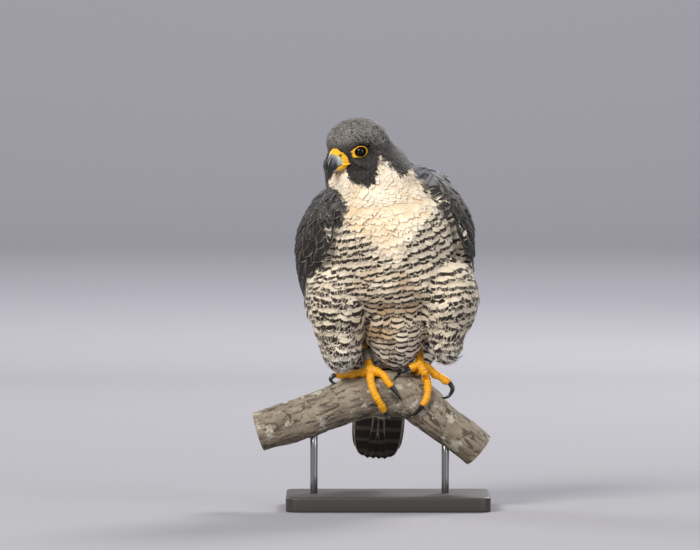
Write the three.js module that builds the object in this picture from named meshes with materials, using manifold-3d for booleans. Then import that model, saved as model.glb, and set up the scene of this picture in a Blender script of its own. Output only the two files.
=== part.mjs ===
// A peregrine falcon perched on a cut length of branch: a still, life-size display model on a plain stand.
// Millimetres, +Z up. The origin is the centre of the underside of the stand's base.
// The bird faces -Y, its right side is at -X, and its head is turned towards its right.
import * as THREE from "three";
import { ParametricGeometry } from "three/addons/geometries/ParametricGeometry.js";
import { mergeVertices } from "three/addons/utils/BufferGeometryUtils.js";
import Module from "manifold-3d";

const wasm = await Module();
wasm.setup();

// Driving sizes
const GAP = 0.35; // clear space between neighbouring pieces
const BODY_BLEND = 14; // how softly the big masses of the body flow into each other
const THIGH_BLEND = 10;
const HEAD_CENTRE = [-33, -24, 388];
const HEAD_YAW = 40; // degrees, towards the bird's right
const HEAD_PITCH = 6; // degrees, nose down
const NAPE_CLEAR = 3; // clear space between the neck's upper part and the back of the head
const HEAD_REACH = 58; // the head ends this far from its spine, where the shoulders begin
const EYE_RADIUS = 7.4;
const EYE_PLACE = [16.6, 16.8, 0.2]; // forward, to the left, up, from the head's centre
const NECK_CUT = { at: [-26, -12, 354], tilt: 20 }; // head and neck part here
const TRUNK_CUT = { at: [-14, -10, 322], tilt: 20 }; // neck and trunk part here
const TOE_RADIUS = 4.3;
const CLAW_RADIUS = 2.5;
const SHANK_RADIUS = 3.9;
const RING_WALL = 1.2;
const RING_HEIGHT = 12;
const BASE_SIZE = [220, 160, 16];
const BASE_CORNER = 14;
const BASE_BEVEL = 2;
const ROD_RADIUS = 4;
const ROD_IN_BASE = 10;
const ROD_IN_PERCH = 14;

const COLOURS = {
  slate: 0x4a4947,
  cream: 0xd9c3a0,
  barred: 0xa48a68,
  wing: 0x3b3430,
  tail: 0x2e2a28,
  orange: 0xf2a90f,
  claw: 0x161416,
  horn: 0x8f979c,
  cere: 0xf0b41c,
  eye: 0x0c0908,
  ring: 0xa9a796,
  bark: 0x8d8172,
  board: 0x5b4433,
  rod: 0x9a9a98,
};

const point = (x, y, z) => new THREE.Vector3(x, y, z);
const curve = (places) => new THREE.CatmullRomCurve3(places.map((p) => point(...p)));
const radians = THREE.MathUtils.degToRad;
const lerp = THREE.MathUtils.lerp;

// A value that runs smoothly through evenly spaced numbers, as t goes from 0 to 1.
function along(values, t) {
  const place = Math.min(Math.max(t, 0), 1) * (values.length - 1);
  const i = Math.min(Math.floor(place), values.length - 2);
  const f = place - i;
  const before = values[Math.max(i - 1, 0)];
  const after = values[Math.min(i + 2, values.length - 1)];
  const slopeIn = (values[i + 1] - before) / 2;
  const slopeOut = (after - values[i]) / 2;
  const square = f * f;
  const cube = square * f;
  return (
    values[i] * (2 * cube - 3 * square + 1) +
    values[i + 1] * (3 * square - 2 * cube) +
    slopeIn * (cube - 2 * square + f) +
    slopeOut * (cube - square)
  );
}

// Solids

// The closed solid of a geometry: equal vertices are joined and collapsed triangles dropped.
function solidOf(geometry) {
  const bare = new THREE.BufferGeometry();
  bare.setAttribute("position", geometry.getAttribute("position"));
  bare.setIndex(geometry.getIndex());
  const joined = mergeVertices(bare, 1e-3);
  const kept = [];
  const index = joined.getIndex().array;
  for (let i = 0; i < index.length; i += 3) {
    const [a, b, c] = index.slice(i, i + 3);
    if (a !== b && b !== c && c !== a) kept.push(a, b, c);
  }
  const build = (triangles) =>
    new wasm.Manifold(
      new wasm.Mesh({
        numProp: 3,
        vertProperties: new Float32Array(joined.getAttribute("position").array),
        triVerts: new Uint32Array(triangles),
      }),
    );
  const made = build(kept);
  return made.volume() > 0 ? made : build(kept.reverse());
}

// The largest piece of a solid, without the crumbs that a cut leaves.
function mainPiece(solid) {
  return solid.decompose().reduce((best, next) => (next.volume() > best.volume() ? next : best));
}

function materialOf(colour, roughness, metalness = 0) {
  return new THREE.MeshStandardMaterial({ color: colour, roughness, metalness });
}

const bird = new THREE.Group();

function addPiece(name, solid, material) {
  const mesh = solid.getMesh();
  const geometry = new THREE.BufferGeometry();
  geometry.setAttribute("position", new THREE.BufferAttribute(mesh.vertProperties, 3));
  geometry.setIndex(new THREE.BufferAttribute(mesh.triVerts, 1));
  geometry.computeVertexNormals();
  const piece = new THREE.Mesh(geometry, material);
  piece.name = name;
  bird.add(piece);
}

function surfaceSolid(surface, around, lengthwise) {
  return solidOf(new ParametricGeometry(surface, around, lengthwise));
}

// A solid tube of changing radius along a curve, closed at both ends. grow widens it, for cutting clearances.
function tubeSolid(places, radii, { sides = 10, steps = 10, grow = 0 } = {}) {
  const path = curve(places);
  const frames = path.computeFrenetFrames(steps, false);
  return surfaceSolid(
    (u, v, target) => {
      const ring = Math.round(v * (steps + 2)) - 1;
      const i = Math.min(Math.max(ring, 0), steps);
      const closed = ring < 0 || ring > steps;
      const radius = closed ? 0 : along(radii, i / steps) + grow;
      const angle = (Math.round(u * sides) % sides) * ((2 * Math.PI) / sides);
      path.getPointAt(i / steps, target);
      if (closed) target.addScaledVector(frames.tangents[i], ring < 0 ? -grow : grow);
      target.addScaledVector(frames.normals[i], Math.cos(angle) * radius);
      target.addScaledVector(frames.binormals[i], Math.sin(angle) * radius);
    },
    sides,
    steps + 2,
  );
}

// All that lies above (side 1) or below (side -1) a plane through a point, which rises towards the back.
function halfSpace({ at, tilt }, side, clear = GAP / 2) {
  const reach = 600;
  const box = new THREE.BoxGeometry(reach, reach, reach);
  box.translate(0, 0, side * (reach / 2 + clear));
  box.rotateX(radians(tilt));
  box.translate(...at);
  return solidOf(box);
}

// Soft masses

// The head's own axes in the part's frame: forward, to the bird's left, and up.
function headAxes() {
  const yaw = radians(HEAD_YAW);
  const pitch = radians(HEAD_PITCH);
  const forward = point(
    -Math.sin(yaw) * Math.cos(pitch),
    -Math.cos(yaw) * Math.cos(pitch),
    -Math.sin(pitch),
  );
  const left = point(Math.cos(yaw), -Math.sin(yaw), 0);
  const up = new THREE.Vector3().crossVectors(left, forward).negate();
  return [forward, left, up];
}

const HEAD_AXES = headAxes();
const WORLD_AXES = [point(1, 0, 0), point(0, 1, 0), point(0, 0, 1)];

function headPoint(forward, left, up) {
  return point(...HEAD_CENTRE)
    .addScaledVector(HEAD_AXES[0], forward)
    .addScaledVector(HEAD_AXES[1], left)
    .addScaledVector(HEAD_AXES[2], up);
}

function mass(at, size) {
  return { centre: point(...at), size, axes: WORLD_AXES };
}

function headMass(at, size) {
  return { centre: headPoint(...at), size, axes: HEAD_AXES };
}

// Near enough the distance from a point to an ellipsoid, negative inside it.
function distanceTo(place, { centre, size, axes }) {
  const offset = place.clone().sub(centre);
  let scaled = 0;
  let steep = 0;
  axes.forEach((axis, i) => {
    const part = offset.dot(axis) / size[i];
    scaled += part * part;
    steep += (part / size[i]) ** 2;
  });
  const depth = Math.sqrt(scaled);
  return (depth * (depth - 1)) / Math.max(Math.sqrt(steep), 1e-6);
}

// The smaller of two distances, with the crease between them filled over a width of blend.
function softUnion(a, b, blend) {
  const share = Math.max(blend - Math.abs(a - b), 0) / blend;
  return Math.min(a, b) - (share * share * blend) / 4;
}

function fieldAt(place, { masses, hollows = [], blend }) {
  const filled = masses.map((m) => distanceTo(place, m)).reduce((a, b) => softUnion(a, b, blend));
  return hollows
    .map((m) => distanceTo(place, m))
    .reduce((a, b) => -softUnion(-a, b, blend / 3), filled);
}

// A closed surface of two parameters, found by rays that leave a spine. They fan out round its start and its end for
// those shares of the rows; a spine whose end has no fan is closed by a point there.
function softSurface(form, { spine, rows, startFan, endFan, grow = 0, reach = 130 }) {
  const path = curve(spine);
  const origin = new THREE.Vector3();
  return (u, v, target) => {
    const t = Math.min(Math.max((v - startFan) / (1 - startFan - endFan - (endFan ? 0 : 1 / rows)), 0), 1);
    let fanned = 0;
    if (v < startFan) fanned = v / startFan - 1;
    if (endFan && v > 1 - endFan) fanned = (v - 1 + endFan) / endFan;
    path.getPoint(t, origin);
    if (!endFan && v > 1 - 0.5 / rows) {
      target.copy(origin);
      return;
    }
    const lengthwise = path.getTangent(t);
    const across = point(1, 0, 0).addScaledVector(lengthwise, -lengthwise.x).normalize();
    const outward = new THREE.Vector3().crossVectors(lengthwise, across);
    const angle = u * 2 * Math.PI;
    const lean = (fanned * Math.PI) / 2;
    const ray = across
      .multiplyScalar(Math.cos(angle))
      .addScaledVector(outward, Math.sin(angle))
      .multiplyScalar(Math.cos(lean))
      .addScaledVector(lengthwise, Math.sin(lean));
    if (Math.abs(fanned) > 0.999) ray.copy(lengthwise).multiplyScalar(Math.sign(fanned));
    let near = 0;
    let far = reach;
    for (let i = 0; i < 20; i++) {
      const middle = (near + far) / 2;
      target.copy(origin).addScaledVector(ray, middle);
      if (fieldAt(target, form) < grow) near = middle;
      else far = middle;
    }
  };
}

const softSolid = (form, layout, around) =>
  surfaceSolid(softSurface(form, layout), around, layout.rows);

const HEAD_MASSES = {
  skull: headMass([-4, 0, 1.5], [34, 31.5, 30]),
  crown: headMass([4, 0, 10.5], [30.5, 26, 20.5]),
  cheekLeft: headMass([2, 16, -16], [24, 20, 21]),
  cheekRight: headMass([2, -16, -16], [24, 20, 21]),
  chin: headMass([13, 0, -23], [17, 17, 13]),
  muzzle: headMass([17, 0, -6], [11, 9.5, 10]),
  forehead: headMass([22, 0, 3], [12, 7, 6]),
};

const HEAD_HOLLOWS = {
  eyeLeft: headMass([25, 29, -1], [13, 10, 9]),
  eyeRight: headMass([25, -29, -1], [13, 10, 9]),
};

const BODY_MASSES = {
  throat: mass([-18, -16, 350], [48, 42, 40]),
  nape: mass([-10, 3, 364], [32, 32, 34]),
  mantle: mass([8, 26, 336], [52, 34, 36]),
  shoulder: mass([42, 12, 334], [34, 34, 33]),
  breast: mass([1, -15, 292], [73, 64, 58]),
  belly: mass([4, -9, 248], [79, 62, 44]),
  lowerBelly: mass([9, -8, 210], [44, 43, 42]),
  back: mass([3, 22, 262], [64, 49, 80]),
  vent: mass([9, 4, 186], [27, 40, 36]),
  coverts: mass([-1, 42, 150], [26, 20, 34]),
  underTail: mass([-6, 58, 120], [21, 9, 34]),
};

const BODY = {
  masses: [...Object.values(BODY_MASSES), ...Object.values(HEAD_MASSES)],
  hollows: Object.values(HEAD_HOLLOWS),
  blend: BODY_BLEND,
};

const HEAD_SPINE = [
  [-31, -20, 387],
  [-29, -18, 374],
  [-24, -15, 356],
  [-17, -12, 330],
];
const HEAD_LAYOUT = { spine: HEAD_SPINE, rows: 16, startFan: 0.5, endFan: 0, reach: HEAD_REACH };

const BODY_SPINE = [
  [-26, -16, 368],
  [-18, -12, 340],
  [-6, -8, 306],
  [3, -4, 270],
  [6, 0, 232],
  [8, 14, 194],
  [2, 38, 152],
  [-5, 54, 116],
];
const BODY_LAYOUT = { spine: BODY_SPINE, rows: 22, startFan: 0.1, endFan: 0.1 };

const THIGHS = {
  right: {
    masses: [mass([-54, -24, 226], [35, 41, 46]), mass([-51, -26, 184], [23, 25, 35])],
    blend: THIGH_BLEND,
    spine: [
      [-52, -20, 246],
      [-54, -24, 216],
      [-52, -25, 190],
      [-50, -26, 166],
    ],
  },
  left: {
    masses: [mass([64, -24, 230], [34, 41, 44]), mass([63, -24, 191], [19, 24, 33])],
    blend: THIGH_BLEND,
    spine: [
      [60, -20, 250],
      [64, -24, 222],
      [64, -24, 198],
      [63, -24, 178],
    ],
  },
};
const THIGH_ROWS = 10;

const bodySolid = (grow) => softSolid(BODY, { ...BODY_LAYOUT, grow }, 20);
const headSolid = (grow) => softSolid(BODY, { ...HEAD_LAYOUT, grow }, 24);
const thighSolid = (side, grow) => {
  const layout = { spine: THIGHS[side].spine, rows: THIGH_ROWS, startFan: 0.25, endFan: 0.25, grow };
  return softSolid(THIGHS[side], layout, 14);
};

// Wings

// Each wing is folded against the body. For stations from the shoulder to the tip it has an axis that it wraps round,
// a leading edge at the bird's side, a trailing edge on the middle of the back, and how far it swells between them.
const WINGS = {
  right: {
    axis: [
      [2, 0, 356],
      [2, 0, 334],
      [2, 0, 298],
      [2, 2, 257],
      [2, 8, 222],
      [0, 22, 182],
      [-4, 40, 138],
      [-8, 52, 86],
    ],
    leading: [
      [-54, -20, 356],
      [-60, -46, 334],
      [-61, -56, 298],
      [-76, -38, 257],
      [-82, -14, 222],
      [-68, 30, 182],
      [-44, 62, 138],
      [-19, 81, 84],
    ],
    trailing: [
      [-34, 26, 356],
      [-30, 44, 334],
      [-25, 62, 298],
      [-16, 73, 257],
      [-9, 80, 222],
      [-5, 83, 182],
      [-7, 85, 138],
      [-14, 83, 84],
    ],
    swell: [4, 14, 24, 21, 10, 5, 3, 1],
  },
  left: {
    axis: [
      [4, 0, 366],
      [4, 0, 342],
      [4, 0, 304],
      [4, 2, 257],
      [4, 8, 222],
      [2, 22, 182],
      [-2, 40, 138],
      [-6, 52, 86],
    ],
    leading: [
      [46, -8, 362],
      [62, -32, 342],
      [76, -40, 304],
      [90, -8, 257],
      [87, 10, 222],
      [66, 40, 182],
      [36, 66, 138],
      [1, 81, 84],
    ],
    trailing: [
      [40, 24, 362],
      [34, 42, 342],
      [26, 62, 304],
      [18, 73, 257],
      [12, 80, 222],
      [6, 84, 182],
      [-2, 86, 138],
      [-4, 83, 84],
    ],
    swell: [3, 11, 14, 10, 7, 5, 3, 1],
  },
};
const WING_THICKNESS = [10, 18, 22, 16, 9, 7, 5, 4];
const WING_EDGE = 1.4;
const WING_SIDES = 16;

// A point of a wing: it turns about the axis from the leading edge to the trailing edge, swelling in between.
function wingPoint(wing, u, v, depth, target) {
  const station = (rows, i) => along(rows.map((row) => row[i]), v);
  const axis = [0, 1, 2].map((i) => station(wing.axis, i));
  const polar = (rows) => {
    const x = station(rows, 0) - axis[0];
    const y = station(rows, 1) - axis[1];
    return { radius: Math.hypot(x, y), angle: Math.atan2(y, x) };
  };
  const from = polar(wing.leading);
  const to = polar(wing.trailing);
  const turn = ((to.angle - from.angle + 3 * Math.PI) % (2 * Math.PI)) - Math.PI;
  const angle = from.angle + turn * u;
  const bow = Math.sin(Math.PI * u);
  const radius =
    lerp(from.radius, to.radius, u) +
    along(wing.swell, v) * bow -
    depth * (WING_EDGE + along(WING_THICKNESS, v) * Math.sqrt(bow));
  target.set(axis[0] + Math.cos(angle) * radius, axis[1] + Math.sin(angle) * radius, axis[2]);
}

// The wing as a closed shell: out along its face and back along its inner side, closed at shoulder and tip.
function wingSolid(side, grow) {
  const wing = WINGS[side];
  const middle = new THREE.Vector3();
  const outward = new THREE.Vector3();
  const rows = 12;
  return surfaceSolid(
    (u, v, target) => {
      const row = Math.min(Math.max((v * rows - 1) / (rows - 2), 0), 1);
      const closed = v * rows < 0.5 || v * rows > rows - 0.5;
      const turn = (Math.round(u * WING_SIDES) % WING_SIDES) * ((2 * Math.PI) / WING_SIDES);
      const lift = Math.sign(Math.sin(turn)) * Math.abs(Math.sin(turn)) ** 0.45;
      wingPoint(wing, (1 - Math.cos(turn)) / 2, row, (1 - lift) / 2, target);
      wingPoint(wing, 0.5, row, 0.5, middle);
      if (closed) target.copy(middle);
      if (grow && !closed) target.add(outward.copy(target).sub(middle).setLength(grow));
    },
    WING_SIDES,
    rows,
  );
}

// Tail: a closed fan of long feathers, narrow at its root and round at its tip

const TAIL_ROOT = [-5, 58, 164];
const TAIL_TIP = [-12.5, 80, 52];
const TAIL_HALF_WIDTH = [20, 23, 25, 27, 28.2, 28, 23.5, 8];
const TAIL_HALF_THICKNESS = [3.5, 3.2, 3, 2.8, 2.5, 2.2, 1.8, 1];
const TAIL_BOW = 3;

function tailSolid() {
  const root = point(...TAIL_ROOT);
  const tip = point(...TAIL_TIP);
  const lengthwise = tip.clone().sub(root).normalize();
  const across = point(1, 0, 0).addScaledVector(lengthwise, -lengthwise.x).normalize();
  const outward = new THREE.Vector3().crossVectors(across, lengthwise);
  const steps = 10;
  return surfaceSolid(
    (u, v, target) => {
      const row = Math.min(Math.max((v * (steps + 2) - 1) / steps, 0), 1);
      const closed = v < 0.5 / (steps + 2) || v > 1 - 0.5 / (steps + 2);
      const share = 1 - (1 - row) ** 1.25;
      const angle = u * 2 * Math.PI;
      const x = closed ? 0 : Math.cos(angle) * along(TAIL_HALF_WIDTH, share);
      const y = closed ? 0 : Math.sin(angle) * along(TAIL_HALF_THICKNESS, share);
      const bow = -TAIL_BOW * (x / TAIL_HALF_WIDTH[4]) ** 2;
      target.lerpVectors(root, tip, share).addScaledVector(across, x).addScaledVector(outward, y + bow);
    },
    16,
    steps + 2,
  );
}

// Perch: a cut length of branch with a bend in it

const PERCH_LINE = [
  [-140, 6, 82.6],
  [-100.4, 3, 94.8],
  [-62.6, 0, 107.5],
  [-43.2, 0, 115.6],
  [-18.4, 0, 122],
  [7.6, 0, 123],
  [27, 0, 118.5],
  [42, 1, 107.5],
  [56.7, 2, 94.2],
  [77.8, 5, 79],
  [98, 9, 62.5],
];
const PERCH_RADII = [21.3, 22, 23, 23, 24, 24.5, 24.5, 23, 20.5, 19.9, 19.5];
const PERCH_PATH = curve(PERCH_LINE);
const PERCH_SAMPLES = 120;

function perchSolid(grow) {
  return tubeSolid(PERCH_LINE, PERCH_RADII, { sides: 12, steps: 12, grow });
}

// The branch's middle line nearest to a place, and its radius there, seen from the front.
function perchNear(x, z) {
  let best = { distance: Infinity };
  for (let i = 0; i <= PERCH_SAMPLES; i++) {
    const t = i / PERCH_SAMPLES;
    const middle = PERCH_PATH.getPointAt(t);
    const distance = Math.hypot(x - middle.x, z - middle.z);
    if (distance < best.distance) best = { distance, middle, radius: along(PERCH_RADII, t) };
  }
  return best;
}

// A place on the branch's front, at a height above its bark, from where it stands seen from the front.
function onPerch(x, z, lift) {
  const { distance, middle, radius } = perchNear(x, z);
  const reach = radius + lift;
  return [x, middle.y - Math.sqrt(Math.max(reach * reach - distance * distance, 0)), z];
}

// Feet

const toe = (x, z) => onPerch(x, z, TOE_RADIUS + 0.4);
const nail = (x, z) => onPerch(x, z, CLAW_RADIUS * 0.8);

const FEET = {
  right: {
    joint: [-19.5, -16, 151],
    shank: [[-19.5, -14, 151], [-23.5, -6, 168], [-29, 4, 190], [-32, 10, 204]],
    toes: {
      outer: [[-30, -12, 146.8], [-40, -8, 145], [-50, -6, 144.6], [-57.5, -8, 144.6]],
      middle: [toe(-18.6, 138), toe(-14, 124.5), toe(-8.2, 114.5), toe(-3.6, 105)],
      inner: [[-12.5, -18, 149], toe(-4.8, 144), toe(0.2, 137), toe(4.2, 132)],
      hind: [[-18, -2, 151.5], [-17, 9, 150.3], [-16.5, 17, 146.5]],
    },
    claws: {
      outer: [[-58.5, -8, 144], [-61.6, -9, 140.5], [-60, -10, 136.6], [-55, -10, 135.4]],
      middle: [toe(-4, 105.8), nail(-1, 100.5), nail(1.6, 96.8), [4, -8, 95.5]],
      inner: [toe(3.6, 132.8), nail(8, 127.4), nail(11.6, 122), nail(14.6, 116.5)],
      hind: [[-16.5, 16.4, 146.6], [-16.5, 22.6, 142.4], [-16.5, 26.4, 136], [-16.5, 27, 129]],
    },
  },
  left: {
    joint: [34.6, -15, 156],
    shank: [[34.6, -13, 156], [33.6, -6, 172], [32, 4, 190], [31, 10, 204]],
    toes: {
      outer: [[42, -12, 153], [51, -8, 145.6], [60, -6, 140], [67, -6, 135.4]],
      middle: [[38.6, -20, 149], toe(42, 139), toe(43, 129), toe(41.2, 119.6), toe(36.4, 111.8)],
      inner: [[28.4, -17, 154], [22.6, -18.5, 151.4]],
      hind: [[33, -2, 155], [31, 10, 150.6], [29.5, 18, 145]],
    },
    claws: {
      outer: [[66.2, -6, 136], [69.6, -7, 129.5], [66, -8, 122], [60.4, -9, 119.6], [55, -10, 121.6]],
      middle: [toe(36.8, 112.4), nail(32.6, 106.6), nail(27.6, 102.2), nail(22.4, 100.8)],
      inner: [[23.4, -18.4, 151.7], [16, -20.5, 149.2], nail(10, 144), nail(5, 138.4)],
      hind: [[29.6, 17.4, 145.4], [28.8, 22.8, 140.4], [28.2, 26.4, 133.6], [28, 26.8, 127]],
    },
  },
};
const CLAW_TAPER = [1, 0.9, 0.68, 0.42, 0.12];

function toeRadii(name) {
  const stout = name === "hind" ? 1.08 : 1;
  return [1.06, 1, 0.94, 0.9, 0.82].map((share) => share * stout * TOE_RADIUS);
}

// A foot: the joint below the shank with four toes, joined into one solid.
function footSolid({ joint, toes }, grow) {
  const knuckle = new THREE.SphereGeometry(TOE_RADIUS * 1.3 + grow, 7, 5);
  knuckle.translate(...joint);
  return Object.entries(toes).reduce((foot, [name, places]) => {
    const size = { sides: 6, steps: 4, grow };
    const end = new THREE.SphereGeometry(toeRadii(name).at(-1) + grow, 6, 4);
    end.translate(...places.at(-1));
    return foot.add(tubeSolid([joint, ...places], toeRadii(name), size)).add(solidOf(end));
  }, solidOf(knuckle));
}

const clawSolid = (places) =>
  tubeSolid(places, CLAW_TAPER.map((share) => share * CLAW_RADIUS), { sides: 5, steps: 4 });

const shankSolid = ({ shank }, grow) =>
  tubeSolid(shank, [1.15, 1, 1, 1.25].map((share) => share * SHANK_RADIUS), { sides: 8, steps: 3, grow });

// The leg ring: a plain metal band round the right shank, just above the foot.
function ringSolid({ shank }) {
  const path = curve(shank);
  const inner = SHANK_RADIUS * 1.15 + GAP + 0.35;
  const half = RING_HEIGHT / 2;
  const profile = [
    [inner, -half],
    [inner + RING_WALL, -half],
    [inner + RING_WALL, half],
    [inner, half],
    [inner, -half],
  ].map(([r, y]) => new THREE.Vector2(r, y));
  const band = new THREE.LatheGeometry(profile, 18);
  const place = 0.26;
  const turn = new THREE.Quaternion().setFromUnitVectors(point(0, 1, 0), path.getTangentAt(place));
  band.applyQuaternion(turn);
  band.translate(...path.getPointAt(place).toArray());
  return solidOf(band);
}

// Bill, in the head's own frame: forward and up along its middle, with half heights and half widths

const BILL = {
  upper: {
    line: [[22, 0, -4], [30, 0, -4], [36, 0, -4.4], [41.4, 0, -6.4], [46, 0, -10], [49, 0, -15], [49.6, 0, -19.6], [49, 0, -23]],
    tall: [8.2, 8.2, 8.1, 7.6, 6.3, 4.2, 2.2, 0.4],
    wide: [11, 9.8, 8.4, 6.6, 4.6, 2.9, 1.5, 0.3],
  },
  lower: {
    line: [[22, 0, -16.4], [30, 0, -16.2], [36, 0, -16.4], [40.5, 0, -17.2], [44, 0, -18.8]],
    tall: [3.8, 3.6, 3.2, 2.4, 0.5],
    wide: [10.4, 9, 7.2, 4.8, 1],
  },
};
const CERE_EDGE = { ridge: [45, 0.4], gape: [35, -13] }; // where the cere ends: forward, up
const CERE_SWELL = 0.5;

function billSolid({ line, tall, wide }, grow) {
  const path = curve(line);
  const steps = 9;
  const rows = steps + 2;
  return surfaceSolid(
    (u, v, target) => {
      const ring = Math.round(v * rows) - 1;
      const t = Math.min(Math.max(ring / steps, 0), 1);
      const closed = ring < 0 || ring > steps;
      const middle = path.getPoint(t);
      const heading = path.getTangent(t);
      const above = point(-heading.z, 0, heading.x);
      const angle = u * 2 * Math.PI;
      const high = closed ? 0 : Math.sin(angle) * (along(tall, t) + grow);
      const broad = closed ? 0 : Math.cos(angle) * (along(wide, t) + grow);
      middle.addScaledVector(above, high);
      target.copy(headPoint(middle.x, broad, middle.z));
    },
    12,
    rows,
  );
}

// Everything behind (side -1) or before (side 1) the cere's front edge, as a block across the bill.
function pastCereEdge(side) {
  const reach = 60;
  const [ridgeForward, ridgeUp] = CERE_EDGE.ridge;
  const [gapeForward, gapeUp] = CERE_EDGE.gape;
  const block = new THREE.BoxGeometry(reach, reach, reach);
  block.translate(side * (reach / 2 + GAP / 2), 0, 0);
  block.rotateY(Math.atan2(ridgeForward - gapeForward, ridgeUp - gapeUp));
  block.translate((ridgeForward + gapeForward) / 2, 0, (ridgeUp + gapeUp) / 2);
  const frame = new THREE.Matrix4().makeBasis(...HEAD_AXES).setPosition(point(...HEAD_CENTRE));
  block.applyMatrix4(frame);
  return solidOf(block);
}

function eyeSolid(side, grow) {
  const ball = new THREE.SphereGeometry(EYE_RADIUS + grow, 12, 8);
  const [forward, left, up] = EYE_PLACE;
  ball.translate(...headPoint(forward, side * left, up).toArray());
  return solidOf(ball);
}

// Stand: a board and two rods

function baseSolid() {
  const [width, depth, height] = BASE_SIZE;
  const corner = BASE_CORNER;
  const outline = new THREE.Shape();
  const x = width / 2 - BASE_BEVEL;
  const y = depth / 2 - BASE_BEVEL;
  outline.moveTo(-x + corner, -y);
  outline.lineTo(x - corner, -y);
  outline.absarc(x - corner, -y + corner, corner, -Math.PI / 2, 0);
  outline.lineTo(x, y - corner);
  outline.absarc(x - corner, y - corner, corner, 0, Math.PI / 2);
  outline.lineTo(-x + corner, y);
  outline.absarc(-x + corner, y - corner, corner, Math.PI / 2, Math.PI);
  outline.lineTo(-x, -y + corner);
  outline.absarc(-x + corner, -y + corner, corner, Math.PI, Math.PI * 1.5);
  const board = new THREE.ExtrudeGeometry(outline, {
    depth: height - 2 * BASE_BEVEL,
    bevelThickness: BASE_BEVEL,
    bevelSize: BASE_BEVEL,
    bevelSegments: 1,
    curveSegments: 3,
  });
  board.translate(0, 0, BASE_BEVEL);
  return solidOf(board);
}

const RODS = { left: [62, 3], right: [-80, 1.5] }; // where each rod stands on the base

function rodSolid([x, y], grow) {
  const { middle, radius } = perchNear(x, PERCH_PATH.getPointAt(0.5).z);
  const column = perchColumn(x) ?? middle;
  const top = column.z - radius + ROD_IN_PERCH;
  const bottom = BASE_SIZE[2] - ROD_IN_BASE;
  const rod = new THREE.CylinderGeometry(ROD_RADIUS + grow, ROD_RADIUS + grow, top - bottom + 2 * grow, 12);
  rod.rotateX(Math.PI / 2);
  rod.translate(x, y, (top + bottom) / 2);
  return solidOf(rod);
}

// The branch's middle line straight above a place on the base.
function perchColumn(x) {
  for (let i = 1; i <= PERCH_SAMPLES; i++) {
    const middle = PERCH_PATH.getPointAt(i / PERCH_SAMPLES);
    if (middle.x >= x) return middle;
  }
  return null;
}

// Putting it together

const feathered = {
  slate: materialOf(COLOURS.slate, 0.9),
  cream: materialOf(COLOURS.cream, 0.9),
  barred: materialOf(COLOURS.barred, 0.9),
  wing: materialOf(COLOURS.wing, 0.8),
  tail: materialOf(COLOURS.tail, 0.8),
};
const orangeSkin = materialOf(COLOURS.orange, 0.6);
const clawHorn = materialOf(COLOURS.claw, 0.3);

const rods = Object.entries(RODS).map(([side, place]) => ({
  side,
  solid: rodSolid(place, 0),
  hole: rodSolid(place, GAP),
}));
const perch = rods.reduce((branch, { hole }) => branch.subtract(hole), perchSolid(0));
const board = rods.reduce((base, { hole }) => base.subtract(hole), baseSolid());
const perchClear = perchSolid(GAP);

const headAbove = halfSpace(NECK_CUT, 1);
const trunkBelow = halfSpace(TRUNK_CUT, -1);
const neckAbove = halfSpace(TRUNK_CUT, 1);
const body = bodySolid(0);
const bodyClear = bodySolid(GAP).add(headSolid(GAP));
const headClear = headSolid(GAP)
  .intersect(halfSpace(NECK_CUT, 1, -GAP / 2))
  .add(headSolid(NAPE_CLEAR).intersect(halfSpace(NECK_CUT, 1, NAPE_CLEAR)));
const thighsClear = { left: thighSolid("left", GAP), right: thighSolid("right", GAP) };
const footClear = { left: footSolid(FEET.left, GAP), right: footSolid(FEET.right, GAP) };

const bill = billSolid(BILL.upper, 0);
const lowerBill = billSolid(BILL.lower, 0);
const cere = billSolid(BILL.upper, CERE_SWELL);
const billClear = billSolid(BILL.upper, CERE_SWELL + GAP).add(billSolid(BILL.lower, GAP));
const eyes = { left: 1, right: -1 };

let head = headSolid(0).intersect(headAbove).subtract(billClear);
for (const side of Object.values(eyes)) head = head.subtract(eyeSolid(side, GAP));
addPiece("head", mainPiece(head), feathered.slate);
addPiece("neck", mainPiece(body.intersect(neckAbove).subtract(headClear)), feathered.cream);

const legsClear = footClear.left
  .add(footClear.right)
  .add(shankSolid(FEET.left, GAP))
  .add(shankSolid(FEET.right, GAP));
const trunk = body.intersect(trunkBelow).subtract(perchClear).subtract(legsClear);
addPiece("trunk", mainPiece(trunk), feathered.barred);
addPiece("tail", mainPiece(tailSolid().subtract(bodyClear)), feathered.tail);

for (const side of ["right", "left"]) {
  const thigh = thighSolid(side, 0).subtract(bodyClear).subtract(perchClear).subtract(legsClear);
  addPiece(`thigh_${side}`, mainPiece(thigh), feathered.barred);
  const wing = wingSolid(side, 0).subtract(bodyClear).subtract(thighsClear[side]);
  addPiece(`wing_${side}`, mainPiece(wing), feathered.wing);
}

for (const [side, foot] of Object.entries(FEET)) {
  const toes = footSolid(foot, 0).subtract(perchClear);
  addPiece(`foot_${side}`, mainPiece(toes), orangeSkin);
  const clear = footClear[side].add(bodyClear).add(thighsClear[side]);
  addPiece(`shank_${side}`, mainPiece(shankSolid(foot, 0).subtract(clear)), orangeSkin);
  for (const [name, places] of Object.entries(foot.claws)) {
    const claw = clawSolid(places).subtract(footClear[side]).subtract(perchClear);
    addPiece(`claw_${side}_${name}`, mainPiece(claw), clawHorn);
  }
}
const ring = ringSolid(FEET.right).subtract(footClear.right);
addPiece("leg_ring", mainPiece(ring), materialOf(COLOURS.ring, 0.5, 0.8));

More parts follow.
